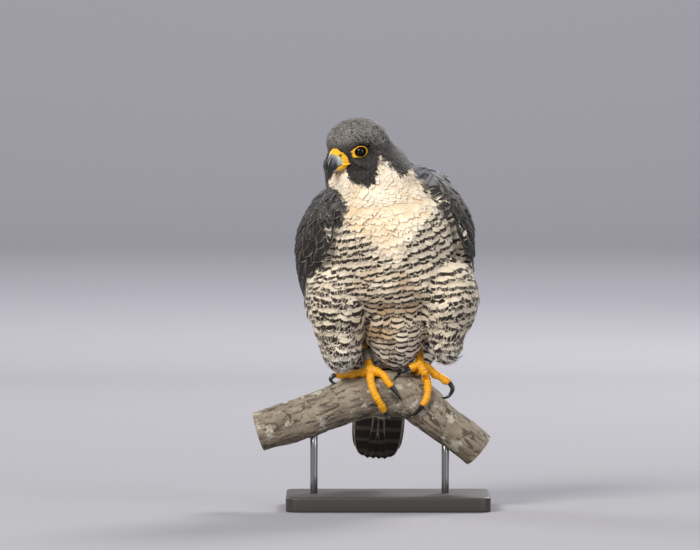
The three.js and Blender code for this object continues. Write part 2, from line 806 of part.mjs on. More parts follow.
for (const [side, sign] of Object.entries(eyes)) {
  addPiece(`eye_${side}`, eyeSolid(sign, 0), materialOf(COLOURS.eye, 0.05));
}
addPiece("cere", mainPiece(cere.intersect(pastCereEdge(-1))), materialOf(COLOURS.cere, 0.5));
addPiece("bill_upper", mainPiece(bill.intersect(pastCereEdge(1))), materialOf(COLOURS.horn, 0.3));
const billGap = billSolid(BILL.upper, CERE_SWELL + GAP);
addPiece("bill_lower", mainPiece(lowerBill.subtract(billGap)), materialOf(COLOURS.cere, 0.4));

addPiece("perch", mainPiece(perch), materialOf(COLOURS.bark, 0.95));
addPiece("stand_base", mainPiece(board), materialOf(COLOURS.board, 0.5));
for (const { side, solid } of rods) {
  addPiece(`stand_rod_${side}`, solid, materialOf(COLOURS.rod, 0.35, 0.9));
}

export default bird;
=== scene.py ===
"""A peregrine falcon display model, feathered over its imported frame.

Sizes are in millimetres in the frame's own axes (+Z up, the bird faces -Y) and become metres in each mesh.
The head has axes of its own: forward, to the bird's left, and up, from the middle of the head.
"""

import math
from types import SimpleNamespace

import bpy
import numpy as np
from bpy.props import FloatProperty, FloatVectorProperty, PointerProperty
from bpy.types import NodeSocket, Operator, Panel, PropertyGroup
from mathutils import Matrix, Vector


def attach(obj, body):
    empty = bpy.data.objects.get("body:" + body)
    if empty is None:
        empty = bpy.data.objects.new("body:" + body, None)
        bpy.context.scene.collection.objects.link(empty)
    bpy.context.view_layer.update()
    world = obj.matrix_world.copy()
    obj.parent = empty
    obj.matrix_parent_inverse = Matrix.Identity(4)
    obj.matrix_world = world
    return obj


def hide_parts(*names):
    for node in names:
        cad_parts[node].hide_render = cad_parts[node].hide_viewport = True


bl_info = {
    "name": "Falcon Display Model",
    "version": (1, 0, 0),
    "blender": (4, 5, 0),
    "location": "View3D > Sidebar > Falcon",
    "description": "Builds the skin, feathers, bill, eyes, feet, perch and stand of a falcon display model",
    "category": "Add Mesh",
}

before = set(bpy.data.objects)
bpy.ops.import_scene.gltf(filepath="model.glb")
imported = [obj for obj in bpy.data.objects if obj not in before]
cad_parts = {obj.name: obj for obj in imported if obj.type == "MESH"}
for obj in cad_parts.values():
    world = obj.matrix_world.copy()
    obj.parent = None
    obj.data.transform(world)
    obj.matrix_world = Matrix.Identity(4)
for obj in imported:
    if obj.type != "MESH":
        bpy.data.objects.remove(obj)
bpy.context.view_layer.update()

MM = 0.001
TURN = 2 * math.pi

# The head
HEAD_CENTRE = np.array([-33.0, -24.0, 388.0])
HEAD_YAW = math.radians(40)
HEAD_PITCH = math.radians(6)
HEAD_HEART = (-2.0, 0.0, -2.0)  # where the rays that find the head's surface start
HEAD_RADIUS = 36  # of the head on average, for the step from row to row
EYE_PLACE = (16.6, 16.8, 0.2)
EYE_RADIUS = 7.4
EYE_LOOK = (0.62, 0.78, 0.02)  # the way the left eye looks, in the head's axes
LID_INNER = (6.9, 5.5)  # half sizes of the eye's opening, along the head and up
LID_OUTER = (7.4, 5.6)  # the same for the bare skin round it
LID_FRONT = 4.8  # how much further the bare skin reaches towards the bill
LID_CLEAR = 1.2  # how far feathers stay away from it
BILL_ROOT = (24.0, 0.0, -5.0)  # the feathers of the head all point away from here
NECK_PLANE = (np.array([-26.0, -12.0, 352.0]), math.radians(20))

# Soft masses of the body: centre and half sizes
BODY_BLEND = 14.0
THIGH_BLEND = 10.0
THIGH_EDGE = 3.0  # how softly a thigh's feathers run into the belly's
SKIN_DEPTH = 4.2  # how deep the skin lies under the feathers' tips
BODY_MASSES = (
    ((-18, -16, 350), (48, 42, 40)), ((-10, 3, 364), (32, 32, 34)), ((8, 26, 336), (52, 34, 36)),
    ((42, 12, 334), (34, 34, 33)), ((1, -15, 292), (73, 64, 58)), ((4, -9, 248), (79, 62, 44)),
    ((9, -8, 210), (44, 43, 42)), ((3, 22, 262), (64, 49, 80)), ((9, 4, 186), (27, 40, 36)),
    ((-1, 42, 150), (26, 20, 34)), ((-6, 58, 120), (21, 9, 34)),
)
HEAD_MASSES = (
    ((-4, 0, 1.5), (34, 31.5, 30)), ((4, 0, 10.5), (30.5, 26, 20.5)), ((2, 16, -16), (24, 20, 21)),
    ((2, -16, -16), (24, 20, 21)), ((13, 0, -23), (17, 17, 13)), ((17, 0, -6), (11, 9.5, 10)),
    ((22, 0, 3), (12, 7, 6)),
)
HEAD_HOLLOWS = (((25, 29, -1), (13, 10, 9)), ((25, -29, -1), (13, 10, 9)))
THIGH_MASSES = {
    "right": (((-54, -24, 226), (35, 41, 46)), ((-51, -26, 184), (23, 25, 35))),
    "left": (((64, -24, 230), (34, 41, 44)), ((63, -24, 191), (19, 24, 33))),
}
BODY_SPINE = (
    (-26, -16, 368), (-18, -12, 340), (-6, -8, 306), (3, -4, 270), (6, 0, 232), (8, 14, 194),
    (2, 38, 152), (-5, 54, 116),
)
THIGH_SPINES = {
    "right": ((-50, -18, 256), (-53, -24, 216), (-52, -25, 190), (-50, -26, 164)),
    "left": ((58, -18, 258), (63, -24, 222), (63, -24, 198), (62, -24, 176)),
}

# Wings: stations from the shoulder to the tip
WINGS = {
    "right": {
        "axis": (
            (2, 0, 356), (2, 0, 334), (2, 0, 298), (2, 2, 257), (2, 8, 222), (0, 22, 182), (-4, 40, 138),
            (-8, 52, 86),
        ),
        "leading": (
            (-54, -20, 356), (-60, -46, 334), (-61, -56, 298), (-76, -38, 257), (-82, -14, 222),
            (-68, 30, 182), (-44, 62, 138), (-19, 81, 84),
        ),
        "trailing": (
            (-34, 26, 356), (-30, 44, 334), (-25, 62, 298), (-16, 73, 257), (-9, 80, 222), (-5, 83, 182),
            (-7, 85, 138), (-14, 83, 84),
        ),
        "swell": (4, 14, 24, 21, 10, 5, 3, 1),
    },
    "left": {
        "axis": (
            (4, 0, 366), (4, 0, 342), (4, 0, 304), (4, 2, 257), (4, 8, 222), (2, 22, 182), (-2, 40, 138),
            (-6, 52, 86),
        ),
        "leading": (
            (46, -8, 362), (62, -32, 342), (76, -40, 304), (90, -8, 257), (87, 10, 222), (66, 40, 182),
            (36, 66, 138), (1, 81, 84),
        ),
        "trailing": (
            (40, 24, 362), (34, 42, 342), (26, 62, 304), (18, 73, 257), (12, 80, 222), (6, 84, 182),
            (-2, 86, 138), (-4, 83, 84),
        ),
        "swell": (3, 11, 14, 10, 7, 5, 3, 1),
    },
}

TAIL_ROOT = np.array([-5.0, 58.0, 164.0])
TAIL_TIP = np.array([-12.5, 80.0, 52.0])
TAIL_HALF_WIDTH = 28.2
TAIL_BOW = 3.0  # how far the tail's sides bend back behind its middle

# Perch
PERCH_LINE = (
    (-140, 6, 82.6), (-100.4, 3, 94.8), (-62.6, 0, 107.5), (-43.2, 0, 115.6), (-18.4, 0, 122),
    (7.6, 0, 123), (27, 0, 118.5), (42, 1, 107.5), (56.7, 2, 94.2), (77.8, 5, 79), (98, 9, 62.5),
)
PERCH_RADII = (21.3, 22, 23, 23, 24, 24.5, 24.5, 23, 20.5, 19.9, 19.5)

# Coat
PATCH = 0.003  # size of a feather's patch on its baking map


def srgb(red, green, blue):
    """The linear colour of a screen colour of 0 to 255."""
    share = np.array([red, green, blue]) / 255
    return np.where(share <= 0.04045, share / 12.92, ((share + 0.055) / 1.055) ** 2.4)


# Curves and fields


def along(values, t):
    """The smooth curve through evenly spaced values: in each span a cubic that starts and ends with the
    slope between the neighbours on either side."""
    values = np.asarray(values, float)
    place = np.clip(t, 0, 1) * (len(values) - 1)
    i = np.minimum(place.astype(int), len(values) - 2)
    f = place - i
    if values.ndim > 1:
        f = f[..., None]
    here, there = values[i], values[i + 1]
    slope_in = (there - values[np.maximum(i - 1, 0)]) / 2
    slope_out = (values[np.minimum(i + 2, len(values) - 1)] - here) / 2
    square, cube = f**2, f**3
    return (
        here * (2 * cube - 3 * square + 1)
        + there * (3 * square - 2 * cube)
        + slope_in * (cube - 2 * square + f)
        + slope_out * (cube - square)
    )


def turns(count):
    """Evenly spaced angles of one full turn."""
    return np.arange(count) * TURN / count


def power(value, exponent):
    """A value raised to a power with its sign kept."""
    return np.sign(value) * np.abs(value) ** exponent


def looked_up(table, value):
    """The value read from a table of (place, value) rows, in straight lines between them."""
    return np.interp(value, *np.array(table, float).T)


def bell(value, middle, width):
    """A bump of height one: e to the minus square of the distance from its middle over its width."""
    return np.exp(-(((value - middle) / width) ** 2))


def size_of(vectors):
    """The length of each vector."""
    return np.linalg.norm(vectors, axis=-1)


def each(values):
    """One value for each feather, spread over its grid of points."""
    return values[:, None, None]


def ball_point(angle, turn):
    """The three parts of the direction at an angle from the pole and a turn round it, the pole last."""
    return np.sin(angle) * np.cos(turn), np.sin(angle) * np.sin(turn), np.cos(angle) + 0 * turn


def unit(vectors):
    """Each vector at length one."""
    return vectors / np.maximum(size_of(vectors)[..., None], 1e-9)


def smooth(low, high, value):
    """0 below low, 1 above high and an S-shaped cubic between."""
    t = np.clip((value - low) / (high - low), 0, 1)
    return t * t * (3 - 2 * t)


def head_axes():
    """Forward, left and up of the head in the frame's axes, from its yaw and pitch."""
    level = math.cos(HEAD_PITCH)
    forward = np.array([-math.sin(HEAD_YAW) * level, -math.cos(HEAD_YAW) * level, -math.sin(HEAD_PITCH)])
    left = np.array([math.cos(HEAD_YAW), -math.sin(HEAD_YAW), 0.0])
    return np.array([forward, left, -np.cross(left, forward)])


HEAD_AXES = head_axes()


def head_to_frame(points):
    """Points given as forward, left, up from the middle of the head, in the frame's axes."""
    return HEAD_CENTRE + np.asarray(points, float) @ HEAD_AXES


def frame_to_head(points):
    """The reverse of head_to_frame."""
    return (points - HEAD_CENTRE) @ HEAD_AXES.T


def mass(centre, size, axes=np.eye(3)):
    return np.array(centre, float), np.array(size, float), axes


def body_masses():
    """All masses of body and head, with the head's turned into its own axes."""
    body = [mass(centre, size) for centre, size in BODY_MASSES]
    return body + [mass(head_to_frame(c), size, HEAD_AXES) for c, size in HEAD_MASSES]


MASSES = body_masses()
HOLLOWS = [mass(head_to_frame(c), size, HEAD_AXES) for c, size in HEAD_HOLLOWS]
THIGHS = {side: [mass(c, size) for c, size in rows] for side, rows in THIGH_MASSES.items()}


def distance_to(points, ellipsoid):
    """Nearly the distance to an ellipsoid: with k0 the length of p/r and k1 the length of p/r^2, k0 (k0 -
    1) / k1."""
    centre, size, axes = ellipsoid
    scaled = ((points - centre) @ axes.T) / size
    depth = size_of(scaled)
    return depth * (depth - 1) / np.maximum(size_of(scaled / size), 1e-6)


def soft_union(a, b, blend):
    """The smaller of two distances, less a quarter of blend times the square of how near they are to
    equal."""
    share = np.maximum(blend - np.abs(a - b), 0) / blend
    return np.minimum(a, b) - share * share * blend / 4


def soft_field(points, masses, blend, hollows=()):
    """The soft union of masses, with hollows cut out of it: below 0 inside."""
    total = distance_to(points, masses[0])
    for piece in masses[1:]:
        total = soft_union(total, distance_to(points, piece), blend)
    for piece in hollows:
        total = -soft_union(-total, distance_to(points, piece), blend / 3)
    return total


def body_field(points):
    return soft_field(points, MASSES, BODY_BLEND, HOLLOWS)


def thigh_field(points, side):
    return soft_field(points, THIGHS[side], THIGH_BLEND)


def thigh_form(side, depth=0.0):
    """A thigh's field, moved in by a depth, as a function of points."""
    return lambda points: thigh_field(points, side) + depth


def coat_field(points):
    """The whole feathered form: the body with both thighs flowing into it."""
    total = body_field(points)
    for side in THIGHS:
        total = soft_union(total, thigh_field(points, side), THIGH_EDGE)
    return total


def slope_of(field, points, step=0.6):
    """The outward direction of a field by differences along each axis."""
    here = field(points)
    parts = [field(points + step * axis) - here for axis in np.eye(3)]
    return unit(np.stack(parts, -1))


def ray_hits(field, origins, rays, reach, level=0.0):
    """Where each ray first leaves the form, by halving the stretch from its origin."""
    near = np.zeros(len(origins))
    far = np.full(len(origins), float(reach))
    for _ in range(18):
        middle = (near + far) / 2
        inside = field(origins + rays * middle[:, None]) < level
        near = np.where(inside, middle, near)
        far = np.where(inside, far, middle)
    return origins + rays * near[:, None]


def spine_rays(spine, angle, station):
    """Origins and directions of rays that leave a spine at right angles, at an angle round it. Past
    station 1, and before 0, they fan out round the spine's end."""
    inside = np.clip(station, 0, 1)
    origins = along(spine, inside)
    onward = unit(along(spine, inside + 0.002) - along(spine, inside - 0.002))
    across = unit(np.array([1.0, 0, 0]) - onward * onward[:, :1])
    outward = np.cross(onward, across)
    lean = np.clip((station - inside) / 0.12, -1, 1) * math.pi / 2
    side = across * np.cos(angle)[:, None] + outward * np.sin(angle)[:, None]
    rays = side * np.cos(lean)[:, None] + onward * np.sin(lean)[:, None]
    return origins, unit(rays)


def noise_at(points, cell, seed):
    """Smooth noise of about -1 to 1: random values at the corners of a lattice, blended by S-shaped
    cubics."""
    place = np.asarray(points, float) / cell
    corner = np.floor(place).astype(np.int64)
    f = place - corner
    f = f * f * (3 - 2 * f)
    total = np.zeros(place.shape[:-1])
    for bits in range(8):
        step = np.array([bits & 1, (bits >> 1) & 1, (bits >> 2) & 1])
        key = corner + step
        hashed = (key[..., 0] * 73856093) ^ (key[..., 1] * 19349663) ^ (key[..., 2] * 83492791)
        hashed = ((hashed ^ (seed * 2654435761)) * 1103515245 + 12345) & 0x7FFFFFFF
        hashed = (hashed ^ (hashed >> 13)) * 1274126177 & 0x7FFFFFFF
        value = hashed / 0x3FFFFFFF - 1
        total += value * np.prod(np.where(step, f, 1 - f), axis=-1)
    return total


# Meshes


def grid_quads(rows, cols, wrap=False):
    """Corner numbers of the quads of a grid of points, joined round its columns when wrap is set."""
    i = np.arange(rows - 1)[:, None]
    j = np.arange(cols if wrap else cols - 1)[None, :]
    k = (j + 1) % cols
    return np.stack([i * cols + j, i * cols + k, (i + 1) * cols + k, (i + 1) * cols + j], -1).reshape(-1, 4)


def repeated_quads(rows, cols, count):
    """The quads of several grids of the same size, one after another."""
    starts = np.arange(count) * rows * cols
    return (grid_quads(rows, cols)[None] + starts[:, None, None]).reshape(-1, 4)


def new_mesh(name, points, quads, tris=None):
    """A smooth-shaded object from points in millimetres and its corner numbers."""
    mesh = bpy.data.meshes.new(name)
    corners = quads.reshape(-1)
    sizes = np.full(len(quads), 4)
    if tris is not None and len(tris):
        corners = np.concatenate([corners, tris.reshape(-1)])
        sizes = np.concatenate([sizes, np.full(len(tris), 3)])
    mesh.vertices.add(len(points))
    mesh.vertices.foreach_set("co", (np.asarray(points) * MM).astype(np.float32).reshape(-1))
    mesh.loops.add(len(corners))
    mesh.loops.foreach_set("vertex_index", corners.astype(np.int32))
    mesh.polygons.add(len(sizes))
    starts = np.concatenate([[0], np.cumsum(sizes)[:-1]])
    mesh.polygons.foreach_set("loop_start", starts.astype(np.int32))
    mesh.polygons.foreach_set("use_smooth", np.ones(len(sizes), bool))
    mesh.update(calc_edges=True)
    mesh.validate()
    piece = bpy.data.objects.new(name, mesh)
    bpy.context.collection.objects.link(piece)
    return piece


def closed_tube(rings):
    """Quads and end triangles of a tube of rings (rings, around, 3), its ends closed by a point in their
    middle."""
    count, around = rings.shape[:2]
    points = np.concatenate([rings.reshape(-1, 3), rings[0].mean(0)[None], rings[-1].mean(0)[None]])
    j = np.arange(around)
    k = (j + 1) % around
    start, end = count * around, count * around + 1
    last = (count - 1) * around
    first_fan = np.stack([np.full(around, start), k, j], -1)
    last_fan = np.stack([np.full(around, end), last + j, last + k], -1)
    return points, grid_quads(count, around, wrap=True), np.concatenate([first_fan, last_fan])


def join_shells(shells):
    """One set of points, quads and triangles from several."""
    points, quads, tris, start = [], [], [], 0
    for shell_points, shell_quads, shell_tris in shells:
        points.append(shell_points)
        quads.append(shell_quads + start)
        tris.append(shell_tris + start)
        start += len(shell_points)
    return np.concatenate(points), np.concatenate(quads), np.concatenate(tris)


def set_vectors(piece, name, values, kind="FLOAT_VECTOR"):
    """An attribute with one value for each point."""
    attribute = piece.data.attributes.new(name, kind, "POINT")
    values = np.asarray(values, np.float32)
    if kind == "FLOAT_COLOR":
        values = np.concatenate([values, np.ones((len(values), 1), np.float32)], -1)
        attribute.data.foreach_set("color", values.reshape(-1))
    else:
        attribute.data.foreach_set("vector", values.reshape(-1))


def points_of(piece):
    """A piece's points in millimetres."""
    flat = np.empty(len(piece.data.vertices) * 3, np.float32)
    piece.data.vertices.foreach_get("co", flat)
    return flat.reshape(-1, 3).astype(float) / MM


def bake_modifiers(piece):
    """The piece with its modifiers made part of its mesh."""
    view = bpy.context.evaluated_depsgraph_get()
    made = bpy.data.meshes.new_from_object(piece.evaluated_get(view))
    piece.modifiers.clear()
    piece.data = made
    made.polygons.foreach_set("use_smooth", np.ones(len(made.polygons), bool))
    return piece


def remeshed(piece, voxel, rounds=0):
    """The piece as one closed skin of even quads, smoothed a little."""
    merge = piece.modifiers.new("One skin", "REMESH")
    merge.mode = "VOXEL"
    merge.voxel_size = voxel * MM
    if rounds:
        relax = piece.modifiers.new("Relax", "SMOOTH")
        relax.iterations = rounds
    return bake_modifiers(piece)


# Paths


def gone_along(points):
    """How far each point is along the line through all of them."""
    return np.concatenate([[0], np.cumsum(size_of(np.diff(points, axis=0)))])


class Path:
    """A smooth curve through places, measured by its own length."""

    def __init__(self, places):
        self.fine = along(np.array(places, float), np.linspace(0, 1, 500))
        self.gone = gone_along(self.fine)
        self.length = self.gone[-1]

    def at(self, share):
        want = np.clip(share, 0, 1) * self.length
        return np.stack([np.interp(want, self.gone, self.fine[:, i]) for i in range(3)], -1)

    def heading(self, share):
        return unit(self.at(np.minimum(share + 0.01, 1)) - self.at(np.maximum(share - 0.01, 0)))


def sweep(path, share, radius, top):
    """Rings round a path: at each share of its length a circle of that radius, whose angle 0 points
    towards top."""
    middle = path.at(share)
    onward = path.heading(share)
    upward = unit(top - onward * (top * onward).sum(-1, keepdims=True))
    sideways = np.cross(onward, upward)
    angle = turns(radius.shape[1])[None, :, None]
    ring = upward[:, None] * np.cos(angle) + sideways[:, None] * np.sin(angle)
    return middle[:, None] + ring * radius[..., None]


PERCH = Path(PERCH_LINE)


# Feathers


def vane_shape(rows, cols, blunt=False):
    """Places of one feather's grid, its length and half width both 1. Barb m runs from the shaft at m^1.3
    to the margin at 0.1 + 0.9 (1 - (1 - m)^1.6), where the half width is sin(pi q^1.25)^0.6 for the
    margin's place q. The barbs lie closer towards the tip. A blunt feather keeps its width, (1 -
    q^7)^0.5, and its barbs lie closer across it."""
    m = np.linspace(0, 1, rows)[:, None] ** (1 if blunt else 0.62)
    a = np.linspace(-1, 1, cols)[None, :]
    a = power(a, 0.85)
    shaft = m if blunt else m**1.3
    margin = m if blunt else 0.1 + 0.9 * (1 - (1 - m) ** 1.6)
    half = np.clip(np.sin(np.pi * np.clip(margin, 0, 1) ** 1.25), 0, 1) ** 0.6
    half = np.clip(1 - m**7, 0, 1) ** 0.5 if blunt else half
    reach = np.abs(a)
    x = a * half
    y = shaft + (margin - shaft) * reach**1.15
    return x, y, a + 0 * m, m + 0 * a


def fray_of(rows, cols, count, amount, seed):
    """How far each barb falls short of the margin: every second one by the amount, each with its own
    chance."""
    rng = np.random.default_rng(seed)
    odd = (np.arange(rows) % 2)[None, :, None]
    chance = rng.uniform(0.3, 1.0, (count, rows, 2))
    side = chance.repeat([cols // 2 + 1, cols - cols // 2 - 1], -1)
    outer = np.abs(np.linspace(-1, 1, cols))[None, None, :] ** 3
    return 1 - each(amount) * (0.35 + 0.65 * odd) * side * outer


def settle_on(field):
    """A function that moves points along directions until the field there equals their heights."""

    def settle(points, push, heights):
        for _ in range(3):
            points = points + push * (heights - field(points))[:, None]
        return points

    return settle


def feather_coat(name, plan, settle, rows, cols, seed):
    """One mesh of feathers. plan holds arrays over the feathers: root, normal, lie, length, width, sink,
    lift, arch, loose, fray, scatter, patch and the marking values. A feather's point is its root plus x
    across and y along the lie, put at its height over the body: -sink at the root, rising to lift at the
    tip, less arch times the square of x. Loose is how far that height may vary by chance."""
    root, normal = plan["root"], plan["normal"]
    count = len(root)
    rng = np.random.default_rng(seed)
    lie = unit(plan["lie"] - normal * (plan["lie"] * normal).sum(-1, keepdims=True))
    side = np.cross(lie, normal)
    turn = (rng.normal(0, 1, count) * plan["scatter"])[:, None]
    lie, side = lie * np.cos(turn) + side * np.sin(turn), side * np.cos(turn) - lie * np.sin(turn)
    x, y, a, m = vane_shape(rows, cols)
    fray = fray_of(rows, cols, count, plan["fray"], seed + 5)
    long, wide = each(plan["length"]), each(plan["width"]) / 2
    local_x = x * wide * fray
    local_y = y * long * (1 - (1 - fray) * 0.6)
    points = each(root) + each(side) * local_x[..., None] + each(lie) * local_y[..., None]
    lift, sink, arch, loose = (each(plan[key]) for key in ("lift", "sink", "arch", "loose"))
    rise = y**1.15 * (lift + sink) - sink
    rise = rise - arch * a**2 * np.sin(np.pi * np.clip(y, 0, 1) * 0.75)
    rise = rise + each(rng.uniform(-0.15, 0.15, count)) * loose
    push = np.repeat(normal, rows * cols, axis=0)
    flat = settle(points.reshape(-1, 3), push, rise.reshape(-1))
    piece = new_mesh(name, flat, repeated_quads(rows, cols, count))
    tip_distance = (1 - y) * long - 0.1 * local_x**2 / np.maximum(wide, 0.1)
    dress(piece, plan, np.broadcast_to(a, local_x.shape), tip_distance, m * long)
    baking_map(piece, plan["patch"], x, y)
    return piece


def dress(piece, plan, across, tip_distance, barb):
    """The attributes that a feather's material reads: its place in the vane, and its marking values."""
    vane = np.stack([across, tip_distance, np.broadcast_to(barb, across.shape)], -1)
    set_vectors(piece, "vane", vane.reshape(-1, 3))
    size = across[0].size
    for key in ("ground", "mark"):
        set_vectors(piece, key, np.repeat(plan[key], size, axis=0), "FLOAT_COLOR")
    for key in ("bars", "edge"):
        set_vectors(piece, key, np.repeat(plan[key], size, axis=0))


def baking_map(piece, patch, x, y):
    """The baking map: each feather is a small patch at its root's place on the unwrapped skin."""
    shape = np.stack([x * 0.5, y - 0.5], -1).reshape(1, -1, 2) * PATCH
    place_of = (patch[:, None] + shape).reshape(-1, 2)
    corners = np.empty(len(piece.data.loops), np.int32)
    piece.data.loops.foreach_get("vertex_index", corners)
    layer = piece.data.uv_layers.new(name="OFBake")
    layer.data.foreach_set("uv", place_of[corners].astype(np.float32).reshape(-1))


def thinned(plan, keep):
    """The plan for only the feathers in keep."""
    return {key: value[keep] for key, value in plan.items()}


# Markings

# The height of the hood's lower edge, by the angle from straight ahead
HOOD_EDGE = (
    (0, -14), (12, -16), (18, -26), (29, -33), (43, -36), (54, -36.5), (60, -35.5), (65, -31),
    (67.5, -24), (69, -15), (73, -10), (82, -8), (90, -11), (94, -21), (98, -34), (107, -38), (115, -34),
    (124, -33), (134, -38), (150, -44), (180, -50),
)
# How far back the pale underside reaches, by height
MANTLE_EDGE = (
    (60, 74), (100, 66), (130, 56), (160, 46), (190, 44), (230, 36), (280, 25), (310, 4), (335, -14),
    (355, -16), (375, -22),
)
BIB_EDGE = 266.0  # height at which the plain bib gives way to bars in the middle


def hood_share(points):
    """1 on the dark hood and its moustache, 0 on the pale cheek and throat."""
    forward, left, up = frame_to_head(points).T
    angle = np.degrees(np.arctan2(np.abs(left), forward))
    edge = looked_up(HOOD_EDGE, angle)
    cheek = smooth(68, 76, angle) * smooth(118, 100, angle)
    ragged = (1.6 + 4.5 * cheek) * noise_at(points, 4.0, 3) + (1.4 + 2 * cheek) * noise_at(points, 2.1, 13)
    soft = 1.2 + 3.5 * cheek
    return smooth(-1, 1, (up - edge + ragged) / soft)


def mantle_share(points):
    """1 on the slate back, 0 on the pale underside."""
    edge = looked_up(MANTLE_EDGE, points[:, 2])
    return smooth(-2, 2, points[:, 1] - edge + 2 * noise_at(points, 7.0, 4))


def areas_of(points):
    """How far each point belongs to each area of the plumage, 1 inside it and 0 outside."""
    height, across = points[:, 2], points[:, 0] - 5
    forward, left, up = frame_to_head(points).T
    from_middle = size_of(frame_to_head(points))
    near = from_middle < 62
    angle = np.degrees(np.arctan2(np.abs(left), forward))
    to_wing = np.min([wing.distance(points) for wing in WING_OF.values()], axis=0)
    back = mantle_share(points)
    shoulder = smooth(11, 6, to_wing) * smooth(294, 306, height) * (1 - back)
    mantle = np.maximum(back, shoulder)
    hood = hood_share(points) * smooth(318, 330, height) * smooth(-51, -45, up) * near
    from_eye = size_of(np.stack([forward - 20, np.abs(left) - 22, up], -1))
    moustache = smooth(-4, -12, up) * smooth(80, 68, angle)
    # The middle of the belly: its ground is darker and warmer, partly its own buff and partly painted shade,
    # and its bars lie closer
    belly = smooth(50, 20, np.abs(across)) * smooth(276, 250, height) * smooth(-10, -35, points[:, 1])
    bib_low = BIB_EDGE + np.where(across < 0, -0.85, 1.4) * across + 5 * noise_at(points, 12.0, 21)
    bib_low = bib_low + 30 * smooth(-30, 0, points[:, 1])
    golden = 0.45 + 0.55 * noise_at(points, 19.0, 8) + 0.3 * noise_at(points, 7.0, 9)
    return SimpleNamespace(
        dark=np.maximum(hood, mantle * (1 - smooth(-34, -26, up) * near)),
        shoulder=shoulder,
        # Darkest slate near the eye, partly the face's own blackish mask and partly painted shade that sets
        # the eye deep, and the moustache
        mask=np.maximum(smooth(27, 11, from_eye), moustache) * hood,
        crown=smooth(2, 14, up),
        by_head=np.maximum(smooth(-44, -30, up), smooth(120, 100, angle)) * smooth(72, 58, from_middle),
        back_bars=smooth(352, 330, height) * mantle,
        golden=np.clip(golden, 0, 1),
        # Painted shade: a band of the throat just below the bill, where the head shades it, turns more buff
        under_bill_shade=smooth(352, 345, height) * smooth(330, 345, height),
        belly=belly,
        bib=smooth(bib_low - 5, bib_low + 8, height),
        spotted=smooth(bib_low + 42, bib_low + 6, height) * smooth(338, 318, height),
        tips=smooth(190, 165, height) * (1 - mantle),
        thigh=smooth(250, 225, height) * smooth(24, 36, np.abs(across)),
    )


def mixed(a, b, share):
    """Colour a turned into colour b by each point's share."""
    return a + (b - a) * share[:, None]


def ground_of(area, colours):
    """The colour between the bars: the warm pale underside, and over it the slate of hood, back and
    shoulders. Some of it is painted shade: the darker, warmer middle of the belly, the extra buff of the
    throat just below the bill and the darkest slate round the eyes."""
    # More buff in the band just below the bill: painted shade
    pale = mixed(colours["cream"], colours["buff"], area.golden * (0.6 + 0.4 * area.under_bill_shade))
    # The belly colour in the middle of the belly: partly its own warmer buff, partly painted shade between
    # the thighs
    under = mixed(colours["under"], colours["belly"], area.belly * area.golden)
    pale = mixed(under, pale, area.bib)
    pale = mixed(pale, colours["white"], 0.55 * area.tips)
    slate = mixed(colours["slate"], colours["crown"], area.crown)
    # The moustache colour on the moustache and round the eye: round the eye partly the face's own colour,
    # partly painted shade
    slate = mixed(slate, colours["malar"], 0.9 * area.mask)
    upper = mixed(colours["back"], slate, area.by_head)
    upper = mixed(upper, 1.4 * colours["wing"], area.shoulder * (1 - area.by_head))
    return mixed(pale, upper, area.dark)


def markings(points, colours, rng):
    """For each place on the bird: ground and mark colours, bars (strength, pitch, thickness) and edges
    (fringe, shaft, how far the bars are narrowed to spots)."""
    count = len(points)
    area = areas_of(points)
    dark, bib = area.dark, area.bib
    shade = 1 + (0.05 + 0.1 * dark) * rng.normal(0, 1, count)
    clumps = 1 + 0.1 * noise_at(points, 13.0, 25)
    clumps = clumps + (0.06 + 0.34 * area.crown * dark) * noise_at(points, 3.4, 26)
    dotted = (0.36 + 0.5 * noise_at(points, 6.0, 27)) * dark * area.crown
    gaps = np.where(rng.random(count) < dotted, 0.3, 1.0)
    ground = np.clip(ground_of(area, colours) * (shade * clumps * gaps)[:, None], 0, 1)
    strength = (1 - dark) * (1 - bib + 0.85 * bib * area.spotted * (rng.random(count) < 0.28))
    strength = strength + dark * 0.65 * area.back_bars
    pitch = 9.4 - 2.6 * area.belly + 0.8 * area.thigh + rng.normal(0, 0.2, count)
    thickness = (3.7 + 0.9 * area.thigh - 1.1 * area.belly - 1.6 * bib) * rng.uniform(0.85, 1.15, count)
    fringe = (1 - dark) * (0.35 + 0.55 * bib) + dark * (0.1 + 0.5 * area.crown + 0.4 * area.back_bars)
    return {
        "ground": ground,
        "mark": mixed(colours["bar"], colours["back_bar"], dark),
        "bars": np.stack([strength, pitch, thickness], -1),
        "edge": np.stack([fringe, dark * 0.5 * area.back_bars, bib * (1 - dark)], -1),
    }


# Rows of feathers

# Steps from row to row: by the station on the body, and by the angle in degrees from the bill on the head
BODY_ROWS = ((0, 4.6), (0.1, 5.4), (0.2, 7), (0.35, 9), (0.55, 9.8), (0.8, 9.4), (1.0, 8.6), (1.06, 8))
HEAD_ROWS = ((0, 1.6), (35, 1.9), (60, 2.5), (90, 3.2), (120, 4.0), (150, 4.6), (178, 5))


def along_ring(points, spacing, offset, jitter, rng):
    """Angles at which feathers stand round a closed ring of points, evenly spaced along its length."""
    gone = gone_along(np.concatenate([points, points[:1]]))
    count = max(int(round(gone[-1] / spacing)), 3)
    want = (np.arange(count) + offset + rng.uniform(-jitter, jitter, count)) / count % 1
    return np.interp(want * gone[-1], gone, np.linspace(0, TURN, len(points) + 1))


